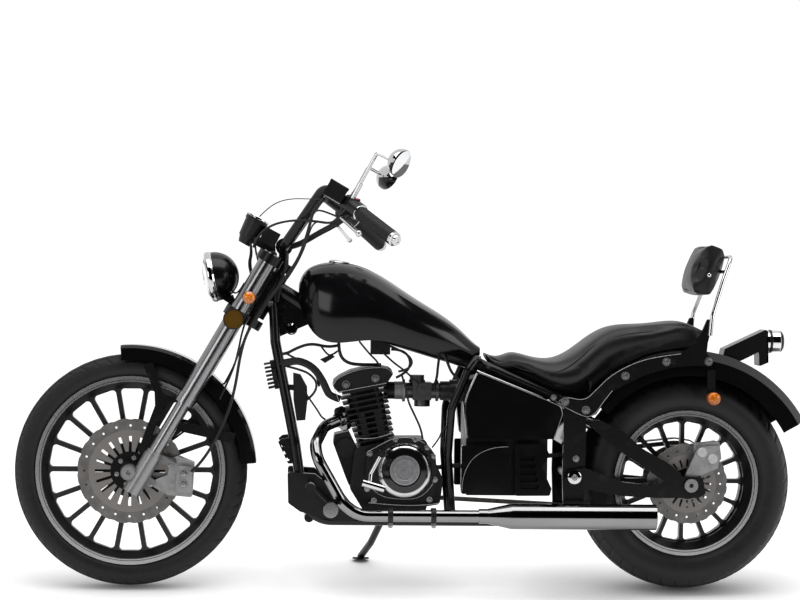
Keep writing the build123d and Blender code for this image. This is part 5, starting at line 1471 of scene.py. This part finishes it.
def panel_light(name, place, target, size, power):
    """Rectangular studio panel."""
    lamp = bpy.data.lights.new(name, "AREA")
    lamp.shape, lamp.size, lamp.size_y = "RECTANGLE", *size
    lamp.energy = power
    holder = plain_object(name, lamp)
    holder.location = place
    holder.rotation_mode = "QUATERNION"
    holder.rotation_quaternion = (Vector(target) - Vector(place)).to_track_quat("-Z", "Y")


class CRUISER_OT_stage(bpy.types.Operator):
    """Set the camera, the pale floor and the studio light"""

    bl_idname = "cruiser.stage"
    bl_label = "Stage"

    def execute(self, context):
        choices = context.scene.cruiser_stage
        aim_camera(choices.lens, choices.distance)
        self.floor(choices)
        self.flag()
        self.sky(context)
        for name, place, target, size, share in PANELS:
            panel_light(name, place, target, size, choices.key * share)
        context.scene.view_settings.view_transform = "Standard"
        return {"FINISHED"}

    def floor(self, choices):
        """Floor that the eye and mirrors see as white, except where the motorcycle shades it closely."""
        bm = bmesh.new()
        bmesh.ops.create_grid(bm, x_segments=2, y_segments=2, size=FLOOR_HALF)
        floor = plain_object("floor", mesh_from(bm, "floor"))
        f = Finish("studio_floor")
        f.set(Base_Color=tuple(choices.floor), Roughness=0.9)
        plain = Value(f, f.shader.outputs[0])
        shade = f.node("ShaderNodeAmbientOcclusion", {"samples": 8}, {"Distance": SHADE_REACH}, "AO")
        open_air = shade.power(SHADE_POWER)
        glow = f.node("ShaderNodeEmission", {}, {"Color": (1.0, 1.0, 1.0), "Strength": choices.glow})
        lit = f.node("ShaderNodeAddShader", {}, {0: plain, 1: glow})
        mix = f.node("ShaderNodeMixShader", {}, {0: f.seen_by_eye() * open_air, 1: plain, 2: lit})
        f.tree.links.new(mix.socket, f.output.inputs["Surface"])
        floor.data.materials.append(f.material)

    def flag(self):
        """Black cloth behind and over the camera, which only reflections show."""
        bm = bmesh.new()
        left, right = [[bm.verts.new((x, y, z)) for y, z in FLAG_PROFILE] for x in (-FLAG_HALF, FLAG_HALF)]
        for i in range(len(FLAG_PROFILE) - 1):
            bm.faces.new([left[i], right[i], right[i + 1], left[i + 1]])
        flag = plain_object("studio_flag", mesh_from(bm, "studio_flag"))
        cloth = Finish("black_studio_cloth")
        flag.data.materials.append(cloth.painted(cloth.noise(3.0), (grey(0.004), grey(0.008)), 1.0,
                                                 Specular_IOR_Level=0.0))
        flag.visible_camera = flag.visible_diffuse = flag.visible_transmission = flag.visible_shadow = False

    def sky(self, context):
        """White sky for the eye and mirrors, and a soft one for the light."""
        world = bpy.data.worlds.new("studio")
        world.use_nodes = True
        context.scene.world = world
        sky = Graph(world.node_tree)
        white, soft = [sky.node("ShaderNodeBackground", {}, {"Color": (1.0, 1.0, 1.0), "Strength": strength})
                       for strength in (1.0, SKY_LIGHT)]
        out = sky.tree.nodes.new("ShaderNodeOutputWorld")
        mix = sky.node("ShaderNodeMixShader", {}, {0: sky.seen_by_eye(), 1: soft, 2: white})
        sky.tree.links.new(mix.socket, out.inputs["Surface"])


class CRUISER_PT_panel(bpy.types.Panel):
    """Buttons of the cruiser motorcycle"""

    bl_idname = "CRUISER_PT_panel"
    bl_label = "Cruiser Motorcycle"
    bl_space_type = "VIEW_3D"
    bl_region_type = "UI"
    bl_category = "Cruiser"

    def draw(self, context):
        """One button for each group of pieces."""
        for operator in OPERATORS:
            self.layout.operator(operator.bl_idname)


GROUPS = (("cruiser_finishes", CruiserFinishes), ("cruiser_stage", CruiserStage),
          ("cruiser_tyres", CruiserTyres), ("cruiser_upholstery", CruiserUpholstery),
          ("cruiser_fittings", CruiserFittings))
OPERATORS = (CRUISER_OT_finishes, CRUISER_OT_stage, CRUISER_OT_tyres, CRUISER_OT_upholstery, CRUISER_OT_lamps,
             CRUISER_OT_bars, CRUISER_OT_cables, CRUISER_OT_fasteners, CRUISER_OT_painted_highlights)


def register():
    """Adds the property groups, operators and panel."""
    for name, group in GROUPS:
        bpy.utils.register_class(group)
        setattr(bpy.types.Scene, name, bpy.props.PointerProperty(type=group))
    for cls in (*OPERATORS, CRUISER_PT_panel):
        bpy.utils.register_class(cls)


def unregister():
    """Takes them away again."""
    for cls in (CRUISER_PT_panel, *reversed(OPERATORS)):
        bpy.utils.unregister_class(cls)
    for name, group in reversed(GROUPS):
        delattr(bpy.types.Scene, name)
        bpy.utils.unregister_class(group)


def main():
    """Dresses the motorcycle."""
    register()
    for operator in OPERATORS:
        space, name = operator.bl_idname.split(".")
        getattr(getattr(bpy.ops, space), name)()


if __name__ == "__main__":
    main()
